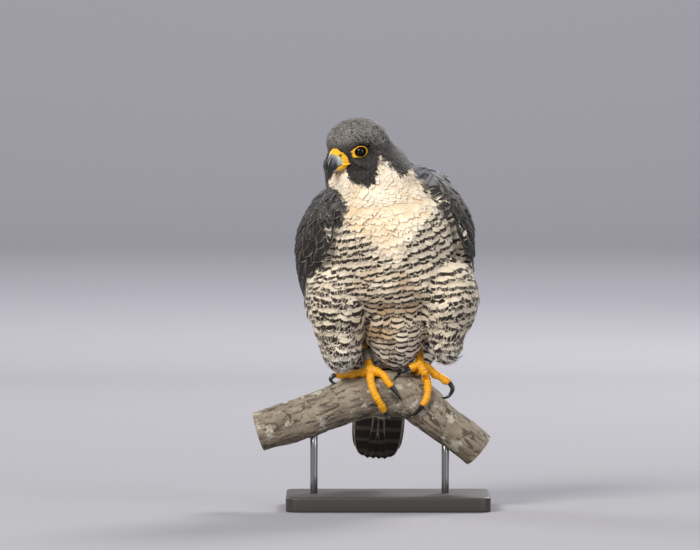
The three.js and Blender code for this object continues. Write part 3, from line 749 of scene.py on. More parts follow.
def rows_on(spine, field, reach, table, raised, seed):
    """Angles and stations of rows of feathers round a spine. A row's station is less by raised times the
    share (1 + sin angle) / 2 short of the front, so that rows sag in front."""
    rng = np.random.default_rng(seed)
    length = Path(spine).length
    table = np.array(table, float)
    probe = np.linspace(0, TURN, 96, endpoint=False)
    station, row, angles, stations, sizes = 0.0, 0, [], [], []

    def lag_at(angle):
        return raised * (1 - np.sin(angle)) / 2 / length * smooth(0, 0.2, np.array(station))

    while station < table[-1, 0]:
        exposure = np.interp(station, *table.T)
        ring = ray_hits(field, *spine_rays(spine, probe, station - lag_at(probe)), reach)
        angle = along_ring(ring, exposure * 0.92, 0.5 * (row % 2), 0.2, rng)
        angles.append(angle)
        stations.append(station - lag_at(angle) + rng.normal(0, 0.08, len(angle)) * exposure / length)
        sizes.append(np.full(len(angle), exposure))
        station += exposure / length
        row += 1
    return np.concatenate(angles), np.concatenate(stations), np.concatenate(sizes)


def seeds_on(spine, field, reach, table, raised, seed, corner, span):
    """Roots, lies and exposures of feathers in rows round a spine, with their places on the baking map."""
    angle, station, size = rows_on(spine, field, reach, table, raised, seed)
    root = ray_hits(field, *spine_rays(spine, angle, station), reach)
    lie = unit(ray_hits(field, *spine_rays(spine, angle, station + 0.02), reach) - root)
    patch = np.array(corner) + np.stack([angle / TURN, station / table[-1][0]], -1) * np.array(span)
    return {"root": root, "lie": lie, "size": size, "patch": patch}


def neck_height(points):
    """How far each point is above the plane between head and neck."""
    place, tilt = NECK_PLANE
    return points[:, 2] - place[2] - (points[:, 1] - place[1]) * math.tan(tilt)


def head_seeds():
    """Seeds of the head: rings round the line from its middle to the bill, small by the bill and larger
    behind."""
    rng = np.random.default_rng(31)
    pole = unit(np.array([1.0, 0.0, -0.14]))
    side = np.array([0.0, 1.0, 0.0])
    top = np.cross(pole, side)
    probe = np.linspace(0, TURN, 72, endpoint=False)

    def hit(angle, turn):
        out = side * np.cos(turn)[:, None] + top * np.sin(turn)[:, None]
        rays = pole * np.cos(angle)[:, None] + out * np.sin(angle)[:, None]
        start = np.broadcast_to(head_to_frame(HEAD_HEART), rays.shape)
        return ray_hits(body_field, start, rays @ HEAD_AXES, 90)

    angles, bearings, sizes = [], [], []
    angle, row = math.radians(6), 0
    while angle < math.radians(176):
        exposure = looked_up(HEAD_ROWS, math.degrees(angle))
        ring = hit(np.full(len(probe), angle), probe)
        turn = along_ring(ring, exposure * 0.95, 0.5 * (row % 2), 0.3, rng)
        angles.append(np.full(len(turn), angle) + rng.normal(0, 0.22, len(turn)) * exposure / HEAD_RADIUS)
        bearings.append(turn)
        sizes.append(np.full(len(turn), exposure))
        angle += exposure / HEAD_RADIUS
        row += 1
    angle, turn, size = (np.concatenate(part) for part in (angles, bearings, sizes))
    root = hit(angle, turn)
    patch = np.array([0.55, 0.02]) + np.stack([turn / TURN, angle / math.pi], -1) * np.array([0.43, 0.3])
    seeds = {"root": root, "lie": flow_at(root), "size": size, "patch": patch}
    return thinned(seeds, neck_height(root) > -3)


def flow_at(points):
    """The way feathers point: away from the bill on the head and down the spine on the body."""
    from_bill = unit(points - head_to_frame(BILL_ROOT))
    heights = np.array(BODY_SPINE, float)[:, 2]
    share = np.interp(-points[:, 2], -heights, np.linspace(0, 1, len(heights)))
    down = unit(along(BODY_SPINE, share + 0.002) - along(BODY_SPINE, share - 0.002))
    blend = smooth(22, -14, neck_height(points))[:, None]
    return unit(from_bill * (1 - blend) + down * blend)


def eye_frame(side):
    """The middle of an eye and its axes: towards the bill, up, and the way it looks. side is 1 or -1."""
    middle = head_to_frame(np.array(EYE_PLACE) * (1, side, 1))
    look = unit(np.array(EYE_LOOK) * (1, side, 1)) @ HEAD_AXES
    front = unit(HEAD_AXES[0] - look * (HEAD_AXES[0] @ look))
    up = np.cross(look, front) * side
    return middle, front, up * np.sign(up @ HEAD_AXES[2]), look


def oval(turn, size):
    """The distance from the middle of an oval to its edge, at an angle from its length."""
    return 1 / np.hypot(np.cos(turn) / size[0], np.sin(turn) / size[1])


def lid_reach(turn):
    """How far the bare skin reaches from the middle of the eye, at an angle from the way to the bill."""
    return oval(turn, LID_OUTER) + LID_FRONT * np.clip(np.cos(turn + 0.2), 0, 1) ** 8


def over_lid(points, side):
    """How far points lie outside the bare skin round an eye, seen the way the eye looks."""
    middle, front, up, look = eye_frame(side)
    offset = points - middle
    x, y = offset @ front, offset @ up
    return np.where(offset @ look > -4, np.hypot(x, y) - lid_reach(np.arctan2(y, x)), 99.0)


def clear_of_eyes(seeds):
    """Drops seeds on bare skin, turns the lie of those nearby round the eye and shortens what would cover
    it."""
    root = seeds["root"]
    away = np.minimum(over_lid(root, 1), over_lid(root, -1))
    seeds = thinned(seeds, away > LID_CLEAR)
    root, lie, long = seeds["root"], seeds["lie"], seeds["length"].copy()
    for side in (1, -1):
        middle, _, _, look = eye_frame(side)
        near = smooth(8, 1, over_lid(root, side))[:, None]
        out = root - middle
        out = unit(out - look * (out @ look)[:, None])
        inward = np.clip(-(lie * out).sum(-1, keepdims=True), 0, 1)
        lie = unit(lie + out * inward * near * 0.9)
        for share in np.linspace(1, 0.15, 12):
            tip = root + lie * (long * share)[:, None]
            covers = over_lid(tip, side) < LID_CLEAR
            long = np.where(covers, np.minimum(long, seeds["length"] * share * 0.95), long)
    seeds["lie"] = lie
    seeds["length"] = np.maximum(long, 1.1)
    return seeds


GAPE = Path(((36, 7.4, -12.3), (33.8, 10.2, -12.2), (32.2, 12.6, -11.8), (30.6, 14.9, -11.2)))
GAPE_TAPER = (1.2, 1.25, 1.0, 0.35)
# How far forward the face's feathers reach, by height in the head's axes
BILL_COAT = ((-16, 25), (-12, 27), (-8.4, 30), (-3.6, 32.2), (3.9, 38.6))


def clear_of_bill(seeds):
    """Drops seeds on the bill and the bare skin round it."""
    forward, left, up = frame_to_head(seeds["root"]).T
    below = (up < -12.5) & (up > -21) & (forward > 27.5) & (np.abs(left) < 8)
    places = np.stack([forward, np.abs(left), up], -1)[:, None]
    to_gape = size_of(places - GAPE.at(np.linspace(0, 1, 9))).min(1)
    on_bill = (forward > looked_up(BILL_COAT, up)) & (up > -19) & (up < 6)
    return thinned(seeds, ~(on_bill | below | (to_gape < 1.7)))


# Wings and tail


class Wing:
    """One folded wing: a shell that turns about an axis from its leading edge, u = 0, to its trailing
    edge, u = 1, and runs down from the shoulder, v = 0, to the tip, v = 1."""

    def __init__(self, side):
        rows = WINGS[side]
        for part in ("axis", "leading", "trailing", "swell"):
            setattr(self, part, np.array(rows[part], float))
        self.fine = np.linspace(0, 1, 400)
        self.heights = along(self.axis, self.fine)[:, 2]

    def station(self, v):
        axis = along(self.axis, v)
        start, end = along(self.leading, v) - axis, along(self.trailing, v) - axis
        first = np.arctan2(start[..., 1], start[..., 0])
        last = np.arctan2(end[..., 1], end[..., 0])
        turn = (last - first + 3 * math.pi) % TURN - math.pi
        return axis, first, turn, np.hypot(start[..., 0], start[..., 1]), np.hypot(end[..., 0], end[..., 1])

    def at(self, u, v, rise=0.0):
        """The point at u and v, with its distance from the axis raised."""
        axis, first, turn, near, far = self.station(v)
        bow = np.sin(np.pi * np.clip(u, 0, 1))
        radius = near + (far - near) * u + along(self.swell, v) * bow + rise
        angle = first + turn * u
        x, y = axis[..., 0] + np.cos(angle) * radius, axis[..., 1] + np.sin(angle) * radius
        return np.stack([x, y, axis[..., 2]], -1)

    def place_of(self, points):
        """u and v of the part of the wing that is level with each point."""
        v = np.interp(-points[:, 2], -self.heights, self.fine)
        axis, first, turn, _, _ = self.station(v)
        angle = np.arctan2(points[:, 1] - axis[:, 1], points[:, 0] - axis[:, 0])
        u = ((angle - first + 3 * math.pi) % TURN - math.pi) / turn
        return u, v

    def distance(self, points):
        """Nearly how far points are outside the wing's face, taken as solid down to its axis."""
        u, v = self.place_of(points)
        _, _, turn, near, far = self.station(v)
        inside = np.clip(u, 0, 1)
        face = near + (far - near) * inside + along(self.swell, v) * np.sin(np.pi * inside)
        axis = along(self.axis, v)
        over = np.hypot(points[:, 0] - axis[:, 0], points[:, 1] - axis[:, 1]) - face
        beside = (np.maximum(-u, 0) + np.maximum(u - 1, 0)) * np.abs(turn) * face
        above = np.maximum(points[:, 2] - self.heights[0], 0) + np.maximum(self.heights[-1] - points[:, 2], 0)
        outside = np.sqrt(np.maximum(over, 0) ** 2 + beside**2 + above**2)
        return np.where(beside + above > 0, outside, over)

    def settle(self, points, push, heights):
        """Moves points straight out from the axis onto the shell, with their heights added."""
        u, v = self.place_of(points)
        placed = self.at(u, v, heights)
        placed[:, 2] = points[:, 2]
        return placed

    def lie(self, u, v, tilt):
        """The way down the shell, turned towards the trailing edge by tilt."""
        down = unit(self.at(u, np.minimum(v + 0.01, 1)) - self.at(u, np.maximum(v - 0.01, 0)))
        back = unit(self.at(u + 0.01, v) - self.at(u - 0.01, v))
        return unit(down + back * tilt), unit(np.cross(down, back))


WING_OF = {side: Wing(side) for side in WINGS}


FLANK_EDGE = {
    "right": ((200, 0.4), (215, 0.3), (240, 0.16), (259, 0.1), (283, 0.06), (313, 0.03), (345, 0)),
    "left": ((200, 0.45), (255, 0.38), (270, 0.24), (283, 0.13), (313, 0.03), (345, 0)),
}  # how far the flank's feathers lie over each wing's front, by height


def under_wing(points):
    """True for points of the body whose feathers a wing covers."""
    covered = np.zeros(len(points), bool)
    for side, wing in WING_OF.items():
        u, _ = wing.place_of(points)
        inside = (points[:, 2] < wing.heights[0] - 6) & (points[:, 2] > wing.heights[-1])
        covered |= inside & (u > looked_up(FLANK_EDGE[side], points[:, 2])) & (u < 0.93)
    return covered


def flank_field(points):
    """The feathered form with the faces of the wings flowing into it."""
    total = coat_field(points)
    for wing in WING_OF.values():
        total = soft_union(total, wing.distance(points) - 0.6, 5.0)
    return total


# Steps from row to row of the small feathers down a wing
COVERT_ROWS = ((0, 6.0), (0.12, 7.0), (0.3, 9.5), (0.44, 12.0), (0.56, 15.0))


def covert_seeds(wing, corner):
    """Rows of small feathers over the upper part of a wing, larger further down."""
    rng = np.random.default_rng(77)
    probe = np.linspace(0, 1, 40)
    length = size_of(np.diff(wing.at(np.full(60, 0.4), np.linspace(0, 1, 60)), axis=0)).sum()
    v, row = 0.004, 0
    us, vs, sizes = [], [], []
    while v < COVERT_ROWS[-1][0]:
        exposure = looked_up(COVERT_ROWS, v)
        width = size_of(np.diff(wing.at(probe, np.full(40, v)), axis=0)).sum()
        count = int(round(width / exposure / 0.95))
        u = (np.arange(count) + 0.5 * (row % 2)) / (count - 0.5) + rng.uniform(-0.1, 0.1, count) / count
        us.append(np.clip(u, 0.0, 0.99))
        vs.append(np.full(count, v) + rng.normal(0, 0.04, count) * exposure / length)
        sizes.append(np.full(count, exposure))
        v += exposure / length
        row += 1
    u, v, size = (np.concatenate(part) for part in (us, vs, sizes))
    v = np.clip(v, 0.0, 1)
    lie, normal = wing.lie(u, v, 0.22)
    normal = normal * np.sign(((wing.at(u, v, 1.0) - wing.at(u, v)) * normal).sum(-1))[:, None]
    patch = np.array(corner) + np.stack([u, v], -1) * np.array([0.2, 0.3])
    return {"root": wing.at(u, v), "lie": lie, "normal": normal, "size": size, "patch": patch, "u": u, "v": v}


ROOT_DEPTH = 2.5  # how deep a long feather's root lies under the small feathers over it


def strip_feathers(name, strips, surface, plan, rows, cols, seed):
    """Long feathers drawn on a two-parameter surface. Each strip is a start and an end in (u, v), a half
    width in u, a height and a tuck, which is how much higher one edge lies than the shaft. A point is the
    surface at u of the shaft plus half width times x, v of the shaft at y."""
    start, end, half, rise, tuck = (np.array(part, float) for part in zip(*strips))
    x, y, a, m = vane_shape(rows, cols, blunt=True)
    count = len(start)
    fray = fray_of(rows, cols, count, plan["fray"], seed)
    y = np.broadcast_to(y, fray.shape)
    local_x = x * fray
    across = each(start[:, 0]) + each((end - start)[:, 0]) * y + local_x * each(half)
    down = each(start[:, 1]) + each((end - start)[:, 1]) * y
    curl = -0.5 * np.abs(a) ** 2 + 0.55 * bell(a, 0, 0.1) * (1 - y)
    height = each(rise) + each(tuck) * local_x + curl * 0.5
    height = (height + ROOT_DEPTH) * smooth(0.0, 0.28, y) - ROOT_DEPTH
    points = surface(across.reshape(-1), down.reshape(-1), height.reshape(-1))
    piece = new_mesh(name, points, repeated_quads(rows, cols, count))
    long, wide = each(plan["length"]), each(plan["width"]) / 2
    tip_distance = (1 - y) * long - 0.1 * (local_x * wide) ** 2 / wide
    dress(piece, plan, np.broadcast_to(a, fray.shape), tip_distance, m * long)
    baking_map(piece, plan["patch"], x, y[0])
    return piece


def tail_axes():
    """Across the tail and out from its upper side."""
    onward = unit(TAIL_TIP - TAIL_ROOT)
    across = unit(np.array([1.0, 0, 0]) - onward * onward[0])
    return across, np.cross(across, onward)


def tail_surface(side):
    """The tail's under side, side -1, or its upper side, side 1, as a function of its width and length."""
    across, outward = tail_axes()
    half_width = (20, 23, 25, 27, 28.2, 28, 27, 25)
    half_depth = (3.5, 3.2, 3, 2.8, 2.5, 2.2, 1.8, 1)

    def surface(u, v, height):
        x = u * along(half_width, v)
        bow = -TAIL_BOW * (x / TAIL_HALF_WIDTH) ** 2
        depth = along(half_depth, v) * np.sqrt(np.clip(1 - u**2, 0, 1))
        line = TAIL_ROOT + (TAIL_TIP - TAIL_ROOT) * v[:, None]
        return line + across * x[:, None] + outward * (bow + side * (depth + height))[:, None]

    return surface


# Skin


def inset_of(points):
    """How deep the skin lies under the feathers' tips: least on the face."""
    on_head = smooth(-10, 15, neck_height(points))
    face = smooth(0, 22, frame_to_head(points)[:, 0])
    return SKIN_DEPTH - on_head * (1.7 + 0.6 * face)


def skin_form(points):
    return body_field(points) + inset_of(points)


def spine_shell(spine, field, reach, rows=70, around=96, fan=0.1):
    """A closed surface found by rays from a spine, fanned out round both its ends."""
    station = np.linspace(-fan, 1 + fan, rows)
    s, a = np.repeat(station, around), np.tile(np.linspace(0, TURN, around, endpoint=False), rows)
    return closed_tube(ray_hits(field, *spine_rays(spine, a, s), reach).reshape(rows, around, 3))


def head_shell():
    """The head as a closed surface found by rays from its middle, cut off inside the neck."""
    rows, around = 60, 80
    angle = np.linspace(0.02, math.pi - 0.02, rows)
    p, t = np.repeat(angle, around), np.tile(np.linspace(0, TURN, around, endpoint=False), rows)
    rays = np.stack([np.cos(p), np.sin(p) * np.cos(t), np.sin(p) * np.sin(t)], -1) @ HEAD_AXES
    start = np.broadcast_to(head_to_frame(HEAD_HEART), rays.shape)
    return closed_tube(ray_hits(skin_form, start, rays, 52).reshape(rows, around, 3))


def wing_shell(wing):
    """A wing as a closed flat shell under its feathers."""
    v = np.linspace(0.03, 0.985, 60)[:, None]
    turn = turns(60)[None, :]
    u = (1 - np.cos(turn)) / 2 + 0 * v
    thick = (10, 16, 18, 12, 6, 4, 2.5, 1.6)
    inner = 1 - power(np.sin(turn), 0.5)
    depth = 1.9 + 7 * smooth(0.1, 0.0, v)
    depth = depth + along(thick, v) * np.sqrt(np.clip(np.sin(np.pi * u), 0, 1)) * inner / 2
    depth = depth + 0.6 * inner / 2
    return closed_tube(wing.at(0.03 + 0.94 * u, v + 0 * u, -depth))


def tail_shell():
    """The tail as a closed flat shell between its feathers."""
    v = np.linspace(0.0, 0.95, 40)[:, None]
    turn = turns(40)
    x = np.cos(turn) * np.interp(v, (0, 0.5, 0.85, 0.95), (19, 25, 24, 16))
    across, outward = tail_axes()
    y = np.sin(turn) * np.interp(v, (0, 0.5, 1), (2.6, 1.6, 0.7)) - TAIL_BOW * (x / TAIL_HALF_WIDTH) ** 2
    line = TAIL_ROOT + (TAIL_TIP - TAIL_ROOT) * v[..., None]
    return closed_tube(line + across * x[..., None] + outward * y[..., None])


def outward_shell(shell):
    """The shell with its faces turned outwards, by the sign of the volume that it holds."""
    points, quads, tris = shell
    every = np.concatenate([quads[:, [0, 1, 2]], quads[:, [0, 2, 3]], tris])
    a, b, c = (points[every[:, i]] - points.mean(0) for i in range(3))
    if (a * np.cross(b, c)).sum() < 0:
        return points, quads[:, ::-1], tris[:, ::-1]
    return shell


def shell_piece(name, shells, voxel=0.0, rounds=0):
    """One object from closed shells, made into one skin when a voxel size is given."""
    points, quads, tris = join_shells([outward_shell(shell) for shell in shells])
    piece = new_mesh(name, points, quads, tris)
    return remeshed(piece, voxel, rounds) if voxel else piece


def graded_piece(name, shell, share, ends=(0, 1)):
    """One object from a closed tube. Its tone is each ring's share, and the ends' values at its two end
    points."""
    piece = shell_piece(name, [shell])
    around = (len(shell[0]) - 2) // len(share)
    tone = np.concatenate([np.repeat(share, around), ends])
    set_vectors(piece, "tone", np.stack([tone] * 3, -1))
    return piece


# Head parts


def eye_shell(side):
    """The eyeball: a sphere about the way it looks, with a low bulge where it is clear."""
    middle, front, up, look = eye_frame(side)
    angle = np.concatenate([np.linspace(0.01, 1.2, 28), np.linspace(1.3, math.pi - 0.05, 12)])[:, None]
    turn = turns(56)[None, :]
    radius = EYE_RADIUS + 0.5 * np.exp(-((angle / 0.55) ** 4))
    rings = middle + np.stack(ball_point(angle, turn), -1) @ np.array([front, up, look]) * radius[..., None]
    return closed_tube(rings), angle[:, 0]


def lid_shell(side):
    """The bare skin round an eye: a closed band with a rounded rim on the eyeball, drawn out towards the
    bill, whose outer part lies on the face."""
    middle, front, up, look = eye_frame(side)
    turn, section = turns(120)[:, None], turns(40)[None, :]
    outer = lid_reach(turn) + 0.6
    share = (1 - np.cos(section)) / 2
    inner = oval(turn, LID_INNER)
    reach = inner + (outer - inner) * share**1.25
    x, y = reach * np.cos(turn), reach * np.sin(turn)
    level = middle + front * x[..., None] + up * y[..., None]
    start = (level - look * 5.0).reshape(-1, 3)
    face = ray_hits(body_field, start, np.broadcast_to(look, start.shape), 16, -0.5)
    face = ((face - start) @ look).reshape(reach.shape) - 5.0
    ball = np.sqrt(np.clip((EYE_RADIUS + 0.1) ** 2 - reach**2, 0, None))
    held = smooth(7.4, 6.0, reach)
    base = np.maximum(face * (1 - held) + np.maximum(ball, face) * held, ball)
    wrinkle = 0.16 * np.sin(turn * 22 + 2 * np.sin(turn * 3)) * np.sin(share * math.pi)
    rim = 0.6 * bell(share, 0.14, 0.13) + 0.4 * np.sin(share * math.pi)
    depth = np.where(np.sin(section) >= 0, rim + wrinkle, -1.0 * np.abs(np.sin(section)))
    points = level + look * (base + depth - 0.1 * share)[..., None]
    return grid_ring_shell(points)


def grid_ring_shell(points):
    """A closed ring: quads of a grid that joins itself both ways."""
    rows, cols = points.shape[:2]
    quads = grid_quads(rows + 1, cols, wrap=True) % (rows * cols)
    return points.reshape(-1, 3), quads, np.zeros((0, 3), int)


# Lines of the upper bill in the head's axes: the ridge as (forward, up), the edge as (forward, left, up)
BILL_RIDGE = (
    (30, 6.4), (34.5, 6.0), (39.6, 4.2), (44.7, 0.3), (49, -5.5), (51.6, -12), (51.5, -17.5), (49.6, -23),
)
BILL_EDGE = (
    (24, 12.2, -12.4), (30, 10.6, -11.9), (35.2, 8.7, -11.8), (39.5, 6.9, -12.6), (42.6, 5.5, -14.6),
    (45, 4.1, -16.6), (48, 2.1, -19.4), (49.6, 0.15, -23),
)
CERE_REACH = (0.27, 0.43)  # the cere's front as a share of the bill, at the mouth's edge and on the ridge


def bill_at(s, w):
    """Forward, left and up of the upper bill at s along it and at angle w over it, from its left edge
    over the ridge to its right edge: a dome between the edge line and the ridge line."""
    ridge_f, ridge_h = np.moveaxis(along(BILL_RIDGE, s), -1, 0)
    edge_f, edge_l, edge_h = np.moveaxis(along(BILL_EDGE, s), -1, 0)
    edge_h = edge_h - 0.9 * (bell(s, 0.66, 0.035) - 0.8 * bell(s, 0.75, 0.03))
    over = np.clip(np.sin(w), 0, 1)
    side = power(np.cos(w), 1.05)
    forward = edge_f + (ridge_f - edge_f) * over**1.2
    up = edge_h + (ridge_h - edge_h) * over**0.9
    return np.stack([forward, edge_l * side, up], -1)


def cere_front(w):
    """How far along the bill the cere reaches at an angle over it."""
    low, high = CERE_REACH
    return low + (high - low) * np.clip(np.sin(w), 0, 1) ** 1.2


def upper_bill_shell():
    """The horn of the upper bill: the dome closed by a hollow underside."""
    s = np.linspace(0.05, 1, 90)[:, None]
    w = np.linspace(0, math.pi, 61)[None, :]
    top = bill_at(s + 0 * w, w + 0 * s)
    front = cere_front(w)
    sunk = smooth(front - 0.02, front - 0.1, s) * np.sin(w) ** 0.5
    top = top - np.stack([2.0 * sunk, 0.16 * sunk * top[..., 1], 1.5 * sunk], -1)
    back = np.linspace(math.pi, 0, 21)[None, 1:-1]
    left = along(BILL_EDGE, s + 0 * back)
    edge = bill_at(s + 0 * back, 0 * back + 0 * s)
    hollow = np.sin(back) * np.clip(1.9 * (1 - s) + 0.1, 0, 2)
    under = np.stack([left[..., 0], left[..., 1] * np.cos(back) * 0.93, edge[..., 2] + 0.15 + hollow], -1)
    rings = np.concatenate([top, under], axis=1)
    return closed_tube(head_to_frame(rings)), s[:, 0]


def lower_bill_shell():
    """The lower bill: a closed scoop whose edge is tucked inside the upper bill's."""
    s = np.linspace(0, 1, 60)[:, None]
    w = turns(48)[None, :]
    forward = along((24, 30, 36, 41, 44, 45.6), s)
    half = along((11.2, 9.9, 8.0, 5.6, 3.2, 0.4), s)
    top = along((-12.6, -12.4, -12.8, -14.2, -15.8, -17), s)
    bottom = along((-17.8, -18.3, -19, -19.3, -18.8, -17.4), s)
    side = power(np.cos(w), 0.8)
    drop = np.where(np.sin(w) > 0, 0.25, 1.0) * np.sin(w)
    up = top + (top - bottom) * drop * np.where(np.sin(w) > 0, 0.3, 1.0)
    points = np.stack([forward + 0 * w, half * side, up], -1)
    return closed_tube(head_to_frame(points)), s[:, 0]


NOSTRIL = np.array([37.8, 7.5, -2.5])
NOSTRIL_RADIUS = 2.25


def cere_shell():
    """The soft skin at the root of the upper bill: a shell over the horn with a rounded front edge and a
    nostril, a round pit with a small knob in its middle, on either side. It also returns the painted
    shade of each point: near black in the pits, less on the knobs."""
    w = np.linspace(-0.12, math.pi + 0.12, 150)[:, None]
    loop = np.arange(110)[None, :] / 110
    outside = loop < 0.8
    share = np.where(outside, np.clip(loop / 0.8, 0, 1), 1 - np.clip((loop - 0.8) / 0.2, 0, 1))
    s = share * cere_front(w)
    inside = np.clip(w, 0, math.pi) + 0 * s
    points = bill_at(s + 0 * w, inside)
    around = bill_at(s, np.clip(inside + 0.02, 0, math.pi)) - bill_at(s, np.clip(inside - 0.02, 0, math.pi))
    onward = bill_at(s + 0.01, inside) - bill_at(s - 0.01, inside)
    normal = unit(np.cross(around, onward))
    normal = normal * np.sign((normal * (points - np.array([34.0, 0, -8]))).sum(-1, keepdims=True))
    swell = 0.25 + 0.55 * np.clip(1 - share**5, 0, 1) * smooth(0.0, 0.3, share + 0.3)
    swell = np.where(outside, swell, -0.35)
    below = np.clip(np.abs(w - math.pi / 2) - math.pi / 2, 0, 1) * 8
    left, right = (size_of(points - NOSTRIL * (1, way, 1)) for way in (1, -1))
    apart = np.minimum(left, right)
    pit = smooth(NOSTRIL_RADIUS, NOSTRIL_RADIUS * 0.62, apart) * outside
    knob = bell(apart, 0, 0.55) * outside
    lip = 0.3 * bell(apart, NOSTRIL_RADIUS + 0.1, 0.5) * outside
    points = points + normal * (swell - 0.85 * pit + 0.75 * knob + lip)[..., None]
    points[..., 2] -= below * 0.6
    # Painted shade: the nostril's pit, all but its knob, is painted near black
    dark = np.concatenate([np.clip(pit - 0.8 * knob, 0, 1).reshape(-1), [0, 0]])
    return closed_tube(head_to_frame(points)), dark


def gape_shell(side):
    """The fold of bare skin at the corner of the mouth, a thin roll on the face's surface."""
    share = np.linspace(0, 1, 40)
    across = np.array([1.0, side, 1.0])
    radius = along(GAPE_TAPER, share)[:, None] * np.ones((1, 24))
    rings = sweep(GAPE, share, radius, np.tile([0.0, 0.3, 1.0], (40, 1))) * across
    return closed_tube(head_to_frame(rings))


# Feet

TOE_RADIUS = 4.3
CLAW_RADIUS = 2.6
SHANK_RADIUS = 3.9
RING_WALL = 1.2
RING_HEIGHT = 12.0
RING_PLACE = 0.26


def perch_near(x, z):
    """The perch's middle and radius nearest to a place seen from the front."""
    share = np.linspace(0, 1, 241)
    middle = PERCH.at(share)
    i = np.argmin(np.hypot(x - middle[:, 0], z - middle[:, 2]))
    return middle[i], along(PERCH_RADII, share[i : i + 1])[0], np.hypot(x - middle[i, 0], z - middle[i, 2])


def on_perch(x, z, lift):
    """A place on the perch's front at a height above its bark."""
    middle, radius, apart = perch_near(x, z)
    return (x, middle[1] - math.sqrt(max((radius + lift) ** 2 - apart**2, 0)), z)


def toe(x, z):
    return on_perch(x, z, TOE_RADIUS + 0.4)


def nail(x, z):
    return on_perch(x, z, CLAW_RADIUS * 0.8)


FEET = {
    "right": {
        "joint": (-19.5, -16, 151),
        "shank": ((-19.5, -14, 151), (-23.5, -6, 168), (-29, 4, 190), (-32, 10, 204)),
        "toes": {
            "outer": ((-30, -12, 146.8), (-40, -8, 145), (-50, -6, 144.6), (-57.5, -8, 144.6)),
            "middle": (toe(-18.6, 138), toe(-14, 124.5), toe(-8.2, 114.5), toe(-3.6, 105)),
            "inner": ((-12.5, -18, 149), toe(-4.8, 144), toe(0.2, 137), toe(4.2, 132)),
            "hind": ((-18, -2, 151.5), (-17, 9, 150.3), (-16.5, 17, 146.5)),
        },
        "claws": {
            "outer": ((-57, -8, 144.4), (-61.6, -9, 140.5), (-60, -10, 136.6), (-55, -10, 135.4)),
            "middle": (toe(-4.4, 107), nail(-1, 100.5), nail(1.6, 96.8), (4, -8, 95.5)),
            "inner": (toe(2.8, 133.6), nail(8, 127.4), nail(11.6, 122), nail(14.6, 116.5)),
            "hind": ((-16.5, 15.4, 147), (-16.5, 22.6, 142.4), (-16.5, 26.4, 136), (-16.5, 27, 129)),
        },
    },
    "left": {
        "joint": (34.6, -15, 156),
        "shank": ((34.6, -13, 156), (33.6, -6, 172), (32, 4, 190), (31, 10, 204)),
        "toes": {
            "outer": ((42, -12, 153), (51, -8, 145.6), (60, -6, 140), (67, -6, 135.4)),
            "middle": ((38.6, -20, 149), toe(42, 139), toe(43, 129), toe(41.2, 119.6), toe(36.4, 111.8)),
            "inner": ((28.4, -17, 154), (22.6, -18.5, 151.4)),
            "hind": ((33, -2, 155), (31, 10, 150.6), (29.5, 18, 145)),
        },
        "claws": {
            "outer": (
                (65.4, -6, 136.6), (69.6, -7, 129.5), (66, -8, 122), (60.4, -9, 119.6), (55, -10, 121.6),
            ),
            "middle": (toe(37.4, 113), nail(32.6, 106.6), nail(27.6, 102.2), nail(22.4, 100.8)),
            "inner": ((24.4, -18.2, 152), (16, -20.5, 149.2), nail(10, 144), nail(5, 138.4)),
            "hind": ((29.7, 16.6, 145.8), (28.8, 22.8, 140.4), (28.2, 26.4, 133.6), (28, 26.8, 127)),
        },
    },
}
TOE_TAPER = (1.06, 1.0, 0.94, 0.9, 0.84)
CLAW_TAPER = (1.0, 0.92, 0.72, 0.44, 0.08)


def toe_top(points):
    """The way up for a toe: away from the nearest place on the perch's middle line."""
    share = np.linspace(0, 1, 121)
    middle = PERCH.at(share)
    gap = size_of(points[:, None] - middle)
    return unit(points - middle[gap.argmin(1)])


def toe_shell(side, name):
    """One toe from the joint to its claw: a swept tube with a pad under each of its joints."""
    foot = FEET[side]
    path = Path((foot["joint"],) + foot["toes"][name])
    share = np.linspace(0, 1, max(int(path.length * 1.6), 20))
    angle = turns(36)
    stout = 1.08 if name == "hind" else 1.0
    radius = along(TOE_TAPER, share)[:, None] * TOE_RADIUS * stout
    gone = share[:, None] * path.length
    pads = 0.5 + 0.5 * np.cos((gone - 9) * TURN / 12.5)
    under = np.clip(-np.cos(angle), 0, 1)[None] ** 1.5
    sides = np.abs(np.sin(angle))[None]
    radius = radius * (1 + under * (0.42 * pads - 0.08)) * (1 + 0.1 * (pads - 0.5) * sides)
    knuckle = bell(gone, path.length * 0.5, 3.5) + bell(gone, path.length * 0.82, 3)
    radius = radius * (1 + 0.07 * knuckle * np.clip(np.cos(angle), 0, 1)[None])
    end = np.sqrt(np.clip(1 - smooth(path.length - 3.0, path.length + 0.6, gone) ** 2, 0.0, 1))
    return closed_tube(sweep(path, share, radius * end, toe_top(path.at(share))))


def shank_shell(side):
    """A shank: a swept tube, thicker at both ends."""
    path = Path(FEET[side]["shank"])
    share = np.linspace(0, 1, 60)
    radius = along((1.22, 1, 1, 1.2), share)[:, None] * SHANK_RADIUS * np.ones((1, 32))
    return closed_tube(sweep(path, share, radius, np.tile([0.0, -1.0, 0.0], (60, 1))))


def ball_shell(middle, radius):
    """A sphere, for the joint where the toes meet."""
    angle = np.linspace(0.03, math.pi - 0.03, 24)[:, None]
    turn = turns(32)[None]
    return closed_tube(np.array(middle) + np.stack(ball_point(angle, turn), -1) * radius)


